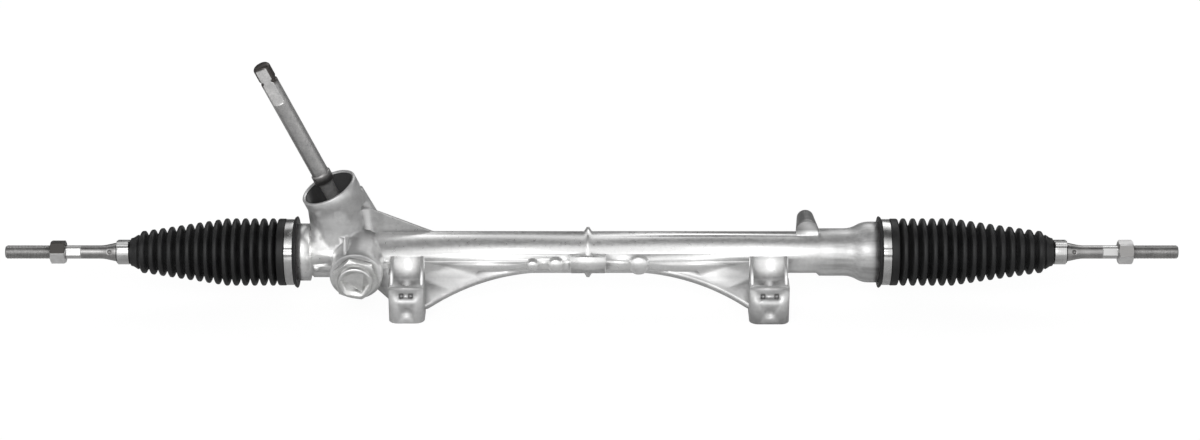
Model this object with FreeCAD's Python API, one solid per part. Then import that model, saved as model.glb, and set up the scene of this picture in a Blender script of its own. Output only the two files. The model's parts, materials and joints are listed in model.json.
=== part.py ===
import FreeCAD, Part
import math
import os

from FreeCAD import Placement, Rotation, Vector

# Manual rack-and-pinion steering rack, in millimetres.
# +X runs along the rack to the right, +Y is away from the feet, +Z is up.
# The origin is midway between the two mounting bolts, on the seating plane.

# Where the rack axis lies, from the mounting bolts and the seating plane
rack_y = 39.5
rack_z = 54.4
rack_offset = 4.0  # the rack stands this far right of centre in its drawn place
rack_travel = 72.5  # each way from the centre
stop_gap = 0.3  # left between socket and stop at the end of the travel

# Fits
running_fit = 0.05  # radial clearance of a shaft in its bush or bearing
seat_fit = 0.02  # radial clearance of a piece that is pressed or screwed home
soft_gap = 0.25  # kept between a rubber part and a piece that moves in it
face_gap = 0.1  # kept between two faces that meet end to end

# Rack bar
bar_r = 13.0
bar_beyond_bolt = 187.25  # along the rack, from a mounting bolt to the bar's end at mid-travel
bar_end_chamfer = 1.0

# Rack teeth and pinion
module = 2.0
pinion_teeth = 7
pressure_deg = 25.0
pinion_tilt_deg = 23.3  # lean of the pinion towards the left, also its helix angle
pinion_lean_deg = 7.5  # lean of the pinion towards the feet
pinion_beyond_bolt = 51.25  # along the rack, from the left mounting bolt to the pinion
axis_distance = 15.5  # from the rack axis to the pinion axis
profile_shift = 0.3
addendum = 0.9
dedendum = 1.25
flank_clearance = 0.05
tooth_reach = 12.0  # toothed length kept beyond the travel at each end
involute_points = 5

# Pinion shaft, along its own axis from the point where it crosses the rack
gear_half = 17.0
tail_r = 6.0
tail_end = -31.0
thrust_collar_r = 9.6
bearing_bore_r = 7.5
bearing_r = 16.0
bearing_width = 9.0
bearing_start = 22.0
bearing_race_r = 9.4
bearing_outer_race_r = 13.6
shield_gap = 0.3
shield_thickness = 1.0
neck_r = 7.3
shaft_collar_start = 84.0
shaft_collar_end = 95.0
shaft_collar_r = 10.4
shaft_r = 9.0
shaft_tip = 231.0
shaft_groove_at = 221.0
shaft_groove_width = 4.0
shaft_groove_depth = 1.0
shaft_flat_start = 176.0
shaft_flat_end = 218.0
shaft_flat_depth = 1.8
circlip_width = 1.2
circlip_r = 9.8
circlip_depth = 0.6
circlip_opening_deg = 50.0

# Pinion tower of the housing
needle_shell_r = 9.0
needle_end = -20.0
tower_foot = -37.0
tower_foot_r = 15.0
tower_r = 20.0
chamber_r = 10.9
cup_mouth = 75.6
cup_rim_r = 30.0
cup_rim_length = 12.5
cup_wall_r = 28.8
cup_bore_r = 27.3
cup_floor = 51.0
cup_shoulder = 3.0  # below the floor of the cup, where its wall starts to narrow
ring_nut_r = 17.5
ring_nut_width = 8.0
ring_nut_bore_r = 12.0
ring_nut_slots = 6
ring_nut_slot_width = 4.0
ring_nut_slot_depth = 2.5
oil_seal_width = 7.0
oil_seal_r = 16.5
skirt_beside = 18.0  # left of the pinion, where the skirt meets the tube
skirt_y = 4.0
skirt_r = 28.5
skirt_end = 64.5  # along the pinion axis, inside the wall of the cup
lug_r = 8.5
lug_side = 21.5
lug_back = 7.0
lug_start = 8.0
lug_end = 60.0

# Dust cover in the cup
dust_wall = 1.6
dust_floor = 2.0
dust_lip_r = 12.0
dust_lip_height = 9.0
dust_top_step = 2.0

# Rack guide, along its own axis from the rack axis
guide_r = 17.0
guide_start = 2.5
guide_length = 25.0
guide_liner = 1.0
guide_liner_start = 4.0
guide_ring_at = 21.0
guide_ring_section = 1.8
spring_pocket_r = 8.6
spring_pocket_depth = 9.0
spring_mean_r = 6.6
spring_wire_r = 1.4
spring_turns = 3
plug_gap = 3.0  # between the guide and its adjuster plug
plug_r = 18.0
plug_face = 61.7
plug_chamfer = 1.2
plug_hex = 27.0
plug_hex_turn_deg = -8.0
plug_hex_depth = 8.0
plug_pocket_depth = 7.0
guide_boss_r = 27.0
guide_boss_end = 48.0
lock_ring_hex = 42.0
lock_ring_turn_deg = 44.0
lock_ring_height = 8.0
guide_rib_offset = -10.5
guide_rib_width = 4.4
guide_rib_height = 3.6
guide_rib_start = 0.0
guide_rib_end = 44.0

# Housing tube
tube_r = 21.8
tube_bore_r = 15.0
guide_bore_r = 13.8
stop_depth = 15.8  # from the end face of the housing in to the rack stop
spigot_r = 29.0
spigot_length = 16.0
end_bore_r = 21.0
stop_seat_r = 17.0
stop_width = 8.0
stop_bore_r = 13.8
left_body_end = 12.0  # right of the pinion
left_body_r = 24.4
left_drum_length = 37.0
left_drum_r = 26.2
left_groove_inset = 14.4
left_groove_width = 3.8
left_groove_r = 24.6
left_collar_r = 29.8
right_step_length = 62.3
right_step_r = 24.7
right_flare_length = 35.0
right_flare_collar = 10.0
right_flare_r = 31.7
bush_width = 23.0

# Ring and pad in the middle of the tube
ring_r = 26.2
ring_crest = 2.6
ring_base = 8.2
pad_width = 38.0
pad_top = 7.4
pad_bottom = -12.0
pad_face = -26.5
pad_draft = 1.6
rail_top = -2.0
rail_corner = -10.0
rail_foot_y = -13.0
rail_foot_z = -17.5
rail_boss_face = -26.2
rail_boss_z = -4.6
# along the tube, radius at the rail and radius at the face
rail_bosses = ((-57.2, 7.2, 4.9), (-33.3, 8.9, 6.0), (52.7, 11.2, 7.4))

# Stub on top of the tube, with its axis front to back
stub_inset = 74.0
stub_z = 25.5
stub_front = -5.0
stub_back = 33.0
stub_front_r = 12.0
stub_back_r = 8.8
stub_round = 2.0

# Side pin on the left drum
side_pin_inset = 20.5
side_pin_z = -7.0
side_pin_r = 3.4
side_pin_proud = 1.6

# Mounting feet
mount_spacing = 373.5
bolt_hole_r = 6.5
left_foot_width = 36.8
right_foot_width = 41.0
left_niche_width = 28.0
right_niche_width = 32.0
foot_corner_r = 9.0
foot_ledge = -17.3
niche_top_y = -20.8
niche_top_z = 6.4
niche_foot_y = -27.5
foot_rib = 3.0
foot_rib_top_y = -21.6
foot_rib_top_z = 5.0
foot_rib_foot_y = -45.0
foot_slope_y = -52.0
foot_slope_z = -31.6
foot_dimple_r = 6.0
foot_dimple_z = -41.8
foot_dimple_depth = 2.6
left_eye_offset = 4.8
right_eye_offset = 7.0
eye_r = 2.6
eye_depth = 1.8
eye_z = -24.5

# Curved arms from the tube to the feet
arm_reach = 57.0  # from the rack axis to the arm's edge at the foot
arm_start = 22.0  # from the rack axis to the arm's edge where it leaves the tube
arm_foot_inset = 28.75
arm_middle_inset = 70.75
arm_middle_reach = 35.6
arm_tube_x = 56.0
arm_thickness = 9.0
arm_above = 2.8  # top face of the arm above the line through the rack axis
arm_angle_deg = 45.0
arm_round = 4.2
skirt_rail_z = -18.0
skirt_rail_length = 74.75
skirt_rail_run = 14.0

# Webs at the tower
gusset_length = 78.0
gusset_y = 2.0
gusset_thickness = 4.2
gusset_top_s = 37.0
side_web_front = -27.0
side_web_depth = 16.0
side_web_top = -1.0
side_web_start = 14.0
side_web_low_z = -28.0
side_web_foot_z = -42.0
side_web_inset = 19.25

# Bellows
bellows_folds = 15
bellows_wall = 1.5
bellows_fold_depth = 8.0
bellows_crest_r = 35.9
bellows_small_crest_r = 21.3
bellows_full_folds = 6
bellows_lip_r = 36.4
bellows_lip_width = 3.0
bellows_cuff_wall = 3.2
bellows_clamp_seat = 9.4
bellows_block_width = 9.0
bellows_block_r = 35.2
small_cuff_r = 15.0
small_cuff_width = 9.0
small_cuff_wall = 2.4
small_seat_width = 14.5

# Clamps
big_clamp_width = 8.6
big_clamp_thickness = 1.0
big_clamp_ear = 6.0
small_clamp_width = 12.0
small_clamp_thickness = 1.1
small_clamp_ear = 5.0
clamp_ear_width = 5.0
big_clamp_ear_turn_deg = 200.0
small_clamp_ear_turn_deg = 115.0

# Inner ball joints and tie rods, along the rod from the ball centre
ball_centre = 22.0  # beyond the end of the bar
ball_r = 13.5
liner_wall = 2.0
socket_r = 18.5
socket_flat = 16.6
socket_flat_length = 12.0
socket_front = 9.0
socket_front_r = 16.2
socket_crimp = 5.0
socket_stud_r = 8.0
socket_stud_length = 22.0
socket_opening_deg = 57.0
liner_back_deg = 50.0
grease_pocket_deg = 24.0  # half angle of the pocket behind the ball, seen from its centre
grease_pocket_depth = 1.0
washer_thickness = 1.5
washer_r = 17.2
rod_neck_r = 6.0
rod_neck_length = 16.0
rod_shoulder = 24.0
rod_body_r = 9.6
boot_seat_r = 8.8
boot_seat_start = 83.0  # beyond the ball centre, where the boot cuff grips the rod
swage_length = 14.0
shank_r = 6.8  # of the rod where no thread stands free: the shank, and under the nut
thread_r = 7.0
thread_chamfer = 1.4
rod_reach = 213.0
rod_dimple_r = 3.0
rod_dimple_depth = 0.8
lock_nut_hex = 22.0
lock_nut_length = 15.0
lock_nut_start = 151.0
nut_chamfer_deg = 30.0

# Directions and places that follow from the sizes above
bolt_x = mount_spacing / 2
bar_half = bolt_x + bar_beyond_bolt  # centre of the bar to either end face
pinion_x = -bolt_x - pinion_beyond_bolt
tilt = math.radians(pinion_tilt_deg)
lean = math.radians(pinion_lean_deg)
across = Vector(1, 0, 0)
upward = Vector(0, 0, 1)
backward = Vector(0, 1, 0)
tooth_line = Vector(0, -math.sin(lean), math.cos(lean))
to_pinion = Vector(0, math.cos(lean), math.sin(lean))
pinion_axis = across * -math.sin(tilt) + tooth_line * math.cos(tilt)
pinion_side = across * math.cos(tilt) + tooth_line * math.sin(tilt)
pinion_centre = across * pinion_x + to_pinion * axis_distance
pitch = math.pi * module
pinion_pitch_r = module * pinion_teeth / 2 / math.cos(tilt)
pinion_tip_r = pinion_pitch_r + module * (profile_shift + addendum)
pinion_root_r = pinion_pitch_r + module * (profile_shift - dedendum)
rack_line = axis_distance - pinion_pitch_r - module * profile_shift
pressure = math.radians(pressure_deg)
left_end = rack_offset - bar_half
right_end = rack_offset + bar_half
stop_face = bar_half - rack_travel - stop_gap
end_face = stop_face + stop_depth
spigot_start = end_face - spigot_length
bearing_end = bearing_start + bearing_width
ring_nut_start = bearing_end + face_gap
ring_nut_end = ring_nut_start + ring_nut_width
oil_seal_start = ring_nut_end + face_gap
guide_end = guide_start + guide_length
opening_half = math.radians(socket_opening_deg)
liner_back_half = math.radians(liner_back_deg)
plug_start = guide_end + plug_gap


def bounded(points):
    """A face from corner points. A pair of points is an arc through the first to the second."""
    edges = []
    last = points[0]
    for point in points[1:] + [points[0]]:
        if len(point) == 2 and isinstance(point[0], Vector):
            edges.append(Part.Arc(last, point[0], point[1]).toShape())
            last = point[1]
        elif not last.isEqual(point, 1e-7):
            edges.append(Part.makeLine(last, point))
            last = point
    return Part.Face(Part.Wire(edges))


def turned(profile):
    """A solid of revolution about X, from (distance, radius) corners and arcs."""
    corners = []
    for first, second in profile:
        if isinstance(first, tuple):
            corners.append((Vector(*first, 0), Vector(*second, 0)))
        else:
            corners.append(Vector(first, second, 0))
    return bounded(corners).revolve(Vector(), across, 360)


def tube(start, end, outer, inner):
    return turned([(start, inner), (start, outer), (end, outer), (end, inner)])


def rod(start, end, radius):
    return turned([(start, 0), (start, radius), (end, radius), (end, 0)])


def slab(corners, start, end):
    """A prism across X, from (y, z) corners."""
    face = bounded([Vector(start, y, z) for y, z in corners])
    return face.extrude(across * (end - start))


def placed(shape, origin, x_axis, y_axis):
    """The shape with its X and Y turned to the given directions and moved to the origin."""
    turn = Rotation(x_axis, y_axis, x_axis.cross(y_axis), "XYZ")
    moved = shape.copy()
    moved.Placement = Placement(origin, turn).multiply(shape.Placement)
    return moved


def on_pinion(shape):
    return placed(shape, pinion_centre, pinion_axis, pinion_side)


def on_guide(shape):
    return placed(shape, across * pinion_x, to_pinion * -1, across)


def on_side(shape, side):
    """A shape drawn for the right side, turned about Z for the left one."""
    if side > 0:
        return shape
    turned_round = shape.copy()
    turned_round.rotate(Vector(), upward, 180)
    return turned_round


def fused(shapes):
    whole = shapes[0]
    for shape in shapes[1:]:
        whole = whole.fuse(shape)
    return whole.removeSplitter()


def hexagon(flats, start, end, turn_deg=0.0):
    """A hexagonal prism along X, given its size across flats."""
    corner_r = flats / 2 / math.cos(math.pi / 6)
    corners = []
    for k in range(6):
        turn = math.pi / 3 * k + math.radians(turn_deg)
        corners.append(Vector(start, corner_r * math.cos(turn), corner_r * math.sin(turn)))
    return bounded(corners).extrude(across * (end - start))


def chamfered_hexagon(flats, start, end, turn_deg=0.0):
    """A hexagonal nut blank with both ends turned to a cone."""
    flat_r = flats / 2
    corner_r = flat_r / math.cos(math.pi / 6)
    run = (corner_r - flat_r) * math.tan(math.radians(nut_chamfer_deg))
    blank = turned([
        (start, 0), (start, flat_r), (start + run, corner_r),
        (end - run, corner_r), (end, flat_r), (end, 0),
    ])
    return hexagon(flats, start, end, turn_deg).common(blank)


# Rack and pinion teeth

def involute(angle):
    return math.tan(angle) - angle


def tooth_half_angle(radius, base_r, half_at_pitch, pitch_angle):
    """Half the angle that a pinion tooth fills at the given radius."""
    if radius <= base_r:
        return half_at_pitch + involute(pitch_angle)
    return half_at_pitch + involute(pitch_angle) - involute(math.acos(base_r / radius))


def pinion_section():
    """Cross-section of the pinion teeth, with a tooth space facing the rack."""
    pitch_angle = math.atan(math.tan(pressure) / math.cos(tilt))
    base_r = pinion_pitch_r * math.cos(pitch_angle)
    thickness = module * (math.pi / 2 + 2 * profile_shift * math.tan(pressure))
    thickness = (thickness - 2 * flank_clearance) / math.cos(tilt)
    half_at_pitch = thickness / 2 / pinion_pitch_r
    flank_start = max(base_r, pinion_root_r)
    step = (pinion_tip_r - flank_start) / (involute_points - 1)
    radii = [flank_start + step * k for k in range(involute_points)]

    def at(radius, turn):
        return Vector(0, radius * math.cos(turn), radius * math.sin(turn))

    edges = []
    for k in range(pinion_teeth):
        middle = 2 * math.pi * (k + 0.5) / pinion_teeth - math.pi / 2
        halves = [tooth_half_angle(r, base_r, half_at_pitch, pitch_angle) for r in radii]
        rising = [at(r, middle - h) for r, h in zip(radii, halves)]
        falling = [at(r, middle + h) for r, h in zip(reversed(radii), reversed(halves))]
        foot = at(pinion_root_r, middle - halves[0])
        heel = at(pinion_root_r, middle + halves[0])
        next_foot = at(pinion_root_r, middle + 2 * math.pi / pinion_teeth - halves[0])
        root = at(pinion_root_r, middle + math.pi / pinion_teeth)
        for flank in (rising, falling):
            curve = Part.BSplineCurve()
            curve.interpolate(flank)
            edges.append(curve.toShape())
        edges.append(Part.makeLine(foot, rising[0]))
        edges.append(Part.Arc(rising[-1], at(pinion_tip_r, middle), falling[0]).toShape())
        edges.append(Part.makeLine(falling[-1], heel))
        edges.append(Part.Arc(heel, root, next_foot).toShape())
    return Part.Wire(Part.__sortEdges__(edges))


def helical_teeth(start, end):
    """The pinion section swept along X with its right-hand helix."""
    length = end - start
    lead = 2 * math.pi * pinion_pitch_r / math.tan(tilt)
    section = pinion_section()
    section.translate(across * start)
    section.rotate(Vector(), across, math.degrees(2 * math.pi * start / lead))
    spine = Part.Wire(Part.makeLine(across * start, across * end))
    guide = Part.makeHelix(lead, length, pinion_tip_r)
    guide.rotate(Vector(), backward, 90)
    guide.translate(across * start)
    sweep = Part.BRepOffsetAPI.MakePipeShell(spine)
    sweep.setAuxiliarySpine(Part.Wire(guide.Edges), True, 0)
    sweep.add(section)
    sweep.build()
    sweep.makeSolid()
    return sweep.shape()


def rack_tooth_cutter():
    """Everything the rack teeth leave away, drawn in X and towards the pinion."""
    tip = rack_line + module * addendum
    root = rack_line - module * dedendum
    first = -math.ceil((rack_travel - rack_offset + tooth_reach) / pitch)
    last = math.ceil((rack_travel + rack_offset + tooth_reach) / pitch)
    half_line = pitch / 4 - flank_clearance
    half_tip = half_line - (tip - rack_line) * math.tan(pressure)
    half_root = half_line + (rack_line - root) * math.tan(pressure)
    outer = bar_r + 1
    points = [(pinion_x + (first - 0.5) * pitch, outer)]
    for k in range(first, last + 1):
        middle = pinion_x + k * pitch
        points += [
            (middle - half_root, root), (middle - half_tip, tip),
            (middle + half_tip, tip), (middle + half_root, root),
        ]
    points.append((pinion_x + (last + 0.5) * pitch, outer))
    corners = [across * x + to_pinion * h - tooth_line * bar_r for x, h in points]
    return bounded(corners).extrude(tooth_line * (2 * bar_r))


# Pieces that slide with the rack

def rack_bar():
    bar = turned([
        (left_end, 0), (left_end, bar_r - bar_end_chamfer), (left_end + bar_end_chamfer, bar_r),
        (right_end - bar_end_chamfer, bar_r), (right_end, bar_r - bar_end_chamfer), (right_end, 0),
    ])
    holes = [
        rod(left_end, left_end + socket_stud_length + 1, socket_stud_r + seat_fit),
        rod(right_end - socket_stud_length - 1, right_end, socket_stud_r + seat_fit),
    ]
    return bar.cut(holes + [rack_tooth_cutter()])


def from_rack_end(shape, side):
    """Moves a piece drawn from the right end of the bar to either end."""
    outward = shape.copy()
    outward.translate(across * (bar_half + rack_offset * side))
    return on_side(outward, side)


def on_ball(radius, angle):
    """A point of a profile at an angle from the rod, on a sphere round the ball's centre."""
    return ball_centre + radius * math.cos(angle), radius * math.sin(angle)


def lock_washer(side):
    washer = tube(0, washer_thickness, washer_r, socket_stud_r + seat_fit)
    for z in (1, -1):
        notch = Part.makeBox(washer_thickness, 6, 3)
        notch.translate(Vector(0, -3, z * washer_r - 1.5))
        washer = washer.cut(notch)
    return from_rack_end(washer, side)


def ball_socket(side):
    """Threaded stud, body with spanner flats and the cavity for the ball, crimped at its mouth."""
    cavity_r = ball_r + running_fit + liner_wall + running_fit
    front = ball_centre + socket_front
    pocket_half = math.radians(grease_pocket_deg)
    pocket_back = ball_centre - cavity_r - grease_pocket_depth
    body = turned([
        (-socket_stud_length, 0), (-socket_stud_length, socket_stud_r - 1),
        (1 - socket_stud_length, socket_stud_r), (washer_thickness, socket_stud_r),
        (washer_thickness, socket_r - 1), (washer_thickness + 1, socket_r),
        (front - socket_crimp, socket_r), (front, socket_front_r),
        (front, socket_front * math.tan(opening_half)), on_ball(cavity_r, opening_half),
        (on_ball(cavity_r, math.pi / 2), on_ball(cavity_r, math.pi - pocket_half)),
        (pocket_back, cavity_r * math.sin(pocket_half)), (pocket_back, 0),
    ])
    for y in (1, -1):
        flat = Part.makeBox(socket_flat_length, socket_r, 2 * socket_r)
        flat.translate(Vector(washer_thickness, -socket_r / 2 + y * (socket_flat + socket_r / 2), -socket_r))
        body = body.cut(flat)
    return from_rack_end(body, side)


def ball_liner(side):
    """The plastic ring between ball and socket."""
    inner_r = ball_r + running_fit
    outer_r = inner_r + liner_wall
    back = math.pi - liner_back_half
    shell = turned([
        on_ball(inner_r, opening_half), on_ball(outer_r, opening_half),
        (on_ball(outer_r, math.pi / 2), on_ball(outer_r, back)), on_ball(inner_r, back),
        (on_ball(inner_r, math.pi / 2), on_ball(inner_r, opening_half)),
    ])
    return from_rack_end(shell, side)


def tie_rod(side):
    """Ball, neck, body, seat for the bellows, swaged end and threaded end in one turning."""
    swage = boot_seat_start + small_seat_width
    nut_end = lock_nut_start + lock_nut_length
    neck_start = math.sqrt(ball_r**2 - rod_neck_r**2)
    whole = turned([
        (-ball_r, 0), ((0, ball_r), (neck_start, rod_neck_r)),
        (rod_neck_length, rod_neck_r), (rod_shoulder, rod_body_r),
        (boot_seat_start, rod_body_r), (boot_seat_start, boot_seat_r), (swage, boot_seat_r),
        (swage, rod_body_r), (swage + swage_length, shank_r),
        (nut_end, shank_r), (nut_end, thread_r), (rod_reach - thread_chamfer, thread_r), (rod_reach, thread_r - thread_chamfer), (rod_reach, 0),
    ])
    surface = (rod_body_r + shank_r) / 2
    dimple_y = (surface + rod_dimple_r - rod_dimple_depth) * -side
    dimple = Part.makeSphere(rod_dimple_r, Vector(swage + swage_length / 2, dimple_y, 0))
    whole = whole.cut(dimple)
    whole.translate(across * ball_centre)
    return from_rack_end(whole, side)


def tie_rod_lock_nut(side):
    nut = chamfered_hexagon(lock_nut_hex, lock_nut_start, lock_nut_start + lock_nut_length)
    nut = nut.cut(rod(lock_nut_start - 1, lock_nut_start + lock_nut_length + 1, shank_r + seat_fit))
    nut.translate(across * ball_centre)
    return from_rack_end(nut, side)


# Bellows and their clamps

def small_seat():
    """Where the small cuff of the bellows starts and ends, from the end of the bar."""
    start = ball_centre + boot_seat_start
    return start, start + small_seat_width


def bellows(side):
    """Drawn along X from the middle of the housing, on the right side. Inside, it is a plain taper."""
    cuff_start = bar_half + rack_offset * side + small_seat()[0] + face_gap
    cuff_end = bar_half + rack_offset * side + small_seat()[1] - face_gap
    seat = spigot_start + bellows_lip_width
    block = seat + bellows_clamp_seat
    folds = block + bellows_block_width
    inner_seat = spigot_r + seat_fit
    cuff_inner = boot_seat_r + soft_gap
    shoulder = cuff_start - small_cuff_width
    fold_pitch = (shoulder - folds) / bellows_folds
    big_valley = bellows_crest_r - bellows_fold_depth
    outer = [
        (spigot_start, inner_seat), (spigot_start, bellows_lip_r), (seat, bellows_lip_r),
        (seat, inner_seat + bellows_cuff_wall), (block, inner_seat + bellows_cuff_wall),
        (block, bellows_block_r), (folds, bellows_block_r), (folds + bellows_wall / 2, big_valley),
    ]
    for k in range(bellows_folds):
        from_small = bellows_folds - 1 - k
        share = min(1.0, from_small / (bellows_folds - bellows_full_folds))
        crest = bellows_small_crest_r + share * (bellows_crest_r - bellows_small_crest_r)
        outer.append((folds + fold_pitch * (k + 0.5), crest))
        if from_small > 0:
            outer.append((folds + fold_pitch * (k + 1), crest - bellows_fold_depth))
    outer += [
        (shoulder, small_cuff_r), (cuff_start, small_cuff_r),
        (cuff_start, cuff_inner + small_cuff_wall), (cuff_end, cuff_inner + small_cuff_wall),
    ]
    big_end = end_face + face_gap
    full_end = folds + fold_pitch * bellows_full_folds
    small_end = cuff_start - small_cuff_width / 2
    inner = [
        (big_end, inner_seat), (big_end, big_valley - bellows_wall), (full_end, big_valley - bellows_wall),
        (small_end, rod_body_r + soft_gap + 1), (cuff_start, rod_body_r + soft_gap + 1),
        (cuff_start, cuff_inner), (cuff_end, cuff_inner),
    ]
    return on_side(turned(outer + list(reversed(inner))), side)


def band(start, width, inner, thickness, ear):
    """A clamp band with one crimped ear, the ear pointing along Y."""
    hoop = tube(start, start + width, inner + thickness, inner)
    foot = inner + thickness / 2
    half = clamp_ear_width / 2
    outline = [
        Vector(start, foot, -half), Vector(start, foot + ear, -half * 0.7),
        (Vector(start, foot + ear + thickness, 0), Vector(start, foot + ear, half * 0.7)),
        Vector(start, foot, half),
    ]
    lug = bounded(outline).extrude(across * width)
    return hoop.fuse(lug.cut(rod(start - 1, start + width + 1, inner)))


def big_clamp(side):
    start = spigot_start + bellows_lip_width + (bellows_clamp_seat - big_clamp_width) / 2
    inner = spigot_r + seat_fit + bellows_cuff_wall + seat_fit
    hoop = band(start, big_clamp_width, inner, big_clamp_thickness, big_clamp_ear)
    hoop.rotate(Vector(), across, big_clamp_ear_turn_deg * side)
    return on_side(hoop, side)


def small_clamp(side):
    start = small_seat()[0] + (small_seat_width - small_clamp_width) / 2
    inner = boot_seat_r + soft_gap + small_cuff_wall + soft_gap
    hoop = band(start, small_clamp_width, inner, small_clamp_thickness, small_clamp_ear)
    hoop.rotate(Vector(), across, small_clamp_ear_turn_deg * side)
    return from_rack_end(hoop, side)


# Pinion and what carries it

def pinion_shaft():
    tail = turned([
        (tail_end, 0), (tail_end, tail_r - 1), (tail_end + 1, tail_r), (-gear_half, tail_r), (-gear_half, 0),
    ])
    clip = bearing_end + face_gap
    stem = turned([
        (gear_half, 0), (gear_half, thrust_collar_r), (bearing_start, thrust_collar_r),
        (bearing_start, bearing_bore_r), (clip, bearing_bore_r), (clip, bearing_bore_r - circlip_depth),
        (clip + circlip_width, bearing_bore_r - circlip_depth), (clip + circlip_width, bearing_bore_r),
        (cup_floor, bearing_bore_r), (cup_floor + 1, neck_r), (shaft_collar_start, neck_r),
        (shaft_collar_start + 1, shaft_collar_r), (shaft_collar_end - 1.5, shaft_collar_r),
        (shaft_collar_end, shaft_r), (shaft_groove_at, shaft_r),
        (shaft_groove_at + 1, shaft_r - shaft_groove_depth),
        (shaft_groove_at + shaft_groove_width - 1, shaft_r - shaft_groove_depth),
        (shaft_groove_at + shaft_groove_width, shaft_r), (shaft_tip - 3, shaft_r),
        (shaft_tip - 1, shaft_r - 1.6), (shaft_tip, shaft_r - 4), (shaft_tip, 0),
    ])
    flat = Part.makeBox(shaft_flat_end - shaft_flat_start, 2 * shaft_r, shaft_r)
    flat.translate(Vector(shaft_flat_start, -shaft_r, -shaft_r - (shaft_r - shaft_flat_depth)))
    stem = stem.cut(flat)
    return on_pinion(fused([helical_teeth(-gear_half, gear_half), tail, stem]))


def needle_bearing():
    return on_pinion(tube(tail_end + 1, needle_end, needle_shell_r - seat_fit, tail_r + running_fit))


def bearing_inner_ring():
    return on_pinion(tube(bearing_start + face_gap, bearing_end, bearing_race_r, bearing_bore_r + seat_fit))


def bearing_outer_ring():
    """The outer ring with a shield at each side, which hides the balls."""
    shield_r = bearing_race_r + shield_gap
    return on_pinion(turned([
        (bearing_start, shield_r), (bearing_start, bearing_r - seat_fit),
        (bearing_end, bearing_r - seat_fit), (bearing_end, shield_r),
        (bearing_end - shield_thickness, shield_r), (bearing_end - shield_thickness, bearing_outer_race_r),
        (bearing_start + shield_thickness, bearing_outer_race_r), (bearing_start + shield_thickness, shield_r),
    ]))


def pinion_circlip():
    start = bearing_end + face_gap
    inner = bearing_bore_r - circlip_depth
    ring = tube(start + seat_fit, start + circlip_width - seat_fit, circlip_r, inner + seat_fit)
    half = math.radians(circlip_opening_deg / 2)
    far = 2 * circlip_r
    gap = bounded([
        Vector(start, 0, 0), Vector(start, far * math.cos(half), far * math.sin(half)),
        Vector(start, far * math.cos(half), -far * math.sin(half)),
    ])
    return on_pinion(ring.cut(gap.extrude(across * circlip_width)))


def pinion_ring_nut():
    ring = tube(ring_nut_start, ring_nut_end, ring_nut_r - seat_fit, ring_nut_bore_r)
    slots = []
    for k in range(ring_nut_slots):
        slot = Part.makeBox(ring_nut_slot_depth, ring_nut_slot_width, ring_nut_r)
        slot.translate(Vector(ring_nut_end - ring_nut_slot_depth, -ring_nut_slot_width / 2, 0))
        slot.rotate(Vector(), across, 360 / ring_nut_slots * k)
        slots.append(slot)
    return on_pinion(ring.cut(slots))


def pinion_oil_seal():
    end = oil_seal_start + oil_seal_width
    inner = bearing_bore_r + running_fit
    return on_pinion(turned([
        (oil_seal_start, oil_seal_r - seat_fit), (end, oil_seal_r - seat_fit), (end, inner + 4),
        (end - 2.5, inner + 2), (end, inner), (end - 2, inner), (oil_seal_start, inner + 2.5),
    ]))


def pinion_dust_cover():
    outer = cup_bore_r - seat_fit
    lip = neck_r + soft_gap
    floor = cup_floor + face_gap
    top = cup_mouth - dust_top_step
    return on_pinion(turned([
        (floor, outer), (top, outer), (top, outer - dust_wall), (floor + dust_floor, outer - dust_wall),
        (floor + dust_floor, dust_lip_r), (floor + dust_lip_height, lip + 1.6),
        (floor + dust_lip_height, lip), (floor + dust_lip_height - 2, lip), (floor, dust_lip_r - 2),
    ]))


# Rack guide and what presses it against the bar

def rack_guide():
    outer = guide_r - running_fit
    groove = guide_ring_section / 2 + 0.1
    floor = outer - guide_ring_section + running_fit
    pocket = guide_end - spring_pocket_depth
    body = turned([
        (guide_start, 0), (guide_start, outer), (guide_ring_at - groove, outer),
        (guide_ring_at - groove, floor), (guide_ring_at + groove, floor),
        (guide_ring_at + groove, outer), (guide_end - 1, outer), (guide_end, outer - 1),
        (guide_end, spring_pocket_r), (pocket, spring_pocket_r), (pocket, 0),
    ])
    saddle = rod(-guide_r, guide_r, bar_r + running_fit + guide_liner + seat_fit)
    saddle = placed(saddle, Vector(), backward, across * -1)
    return on_guide(body.cut(saddle))


def guide_liner_sheet():
    inner = bar_r + running_fit
    sheet = tube(-guide_r, guide_r, inner + guide_liner, inner)
    sheet = placed(sheet, Vector(), backward, across * -1)
    outline = rod(guide_liner_start, guide_r, guide_r - running_fit - 1.0)
    return on_guide(sheet.common(outline))


def guide_o_ring():
    half = guide_ring_section / 2
    outer = guide_r - seat_fit
    return on_guide(tube(guide_ring_at - half, guide_ring_at + half, outer, outer - guide_ring_section + 0.1))


def guide_spring():
    """A coil spring of square wire, from the floor of the guide to the floor of the plug."""
    start = guide_end - spring_pocket_depth + spring_wire_r + face_gap
    end = plug_start + plug_pocket_depth - spring_wire_r - face_gap
    helix = Part.makeHelix((end - start) / spring_turns, end - start, spring_mean_r)
    half = spring_wire_r * 0.85
    corners = [
        Vector(spring_mean_r + x, 0, z)
        for x, z in ((half, half), (-half, half), (-half, -half), (half, -half), (half, half))
    ]
    coil = Part.Wire(helix.Edges).makePipeShell([Part.makePolygon(corners)], True, True)
    return on_guide(placed(coil, across * start, upward * -1, backward))


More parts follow.
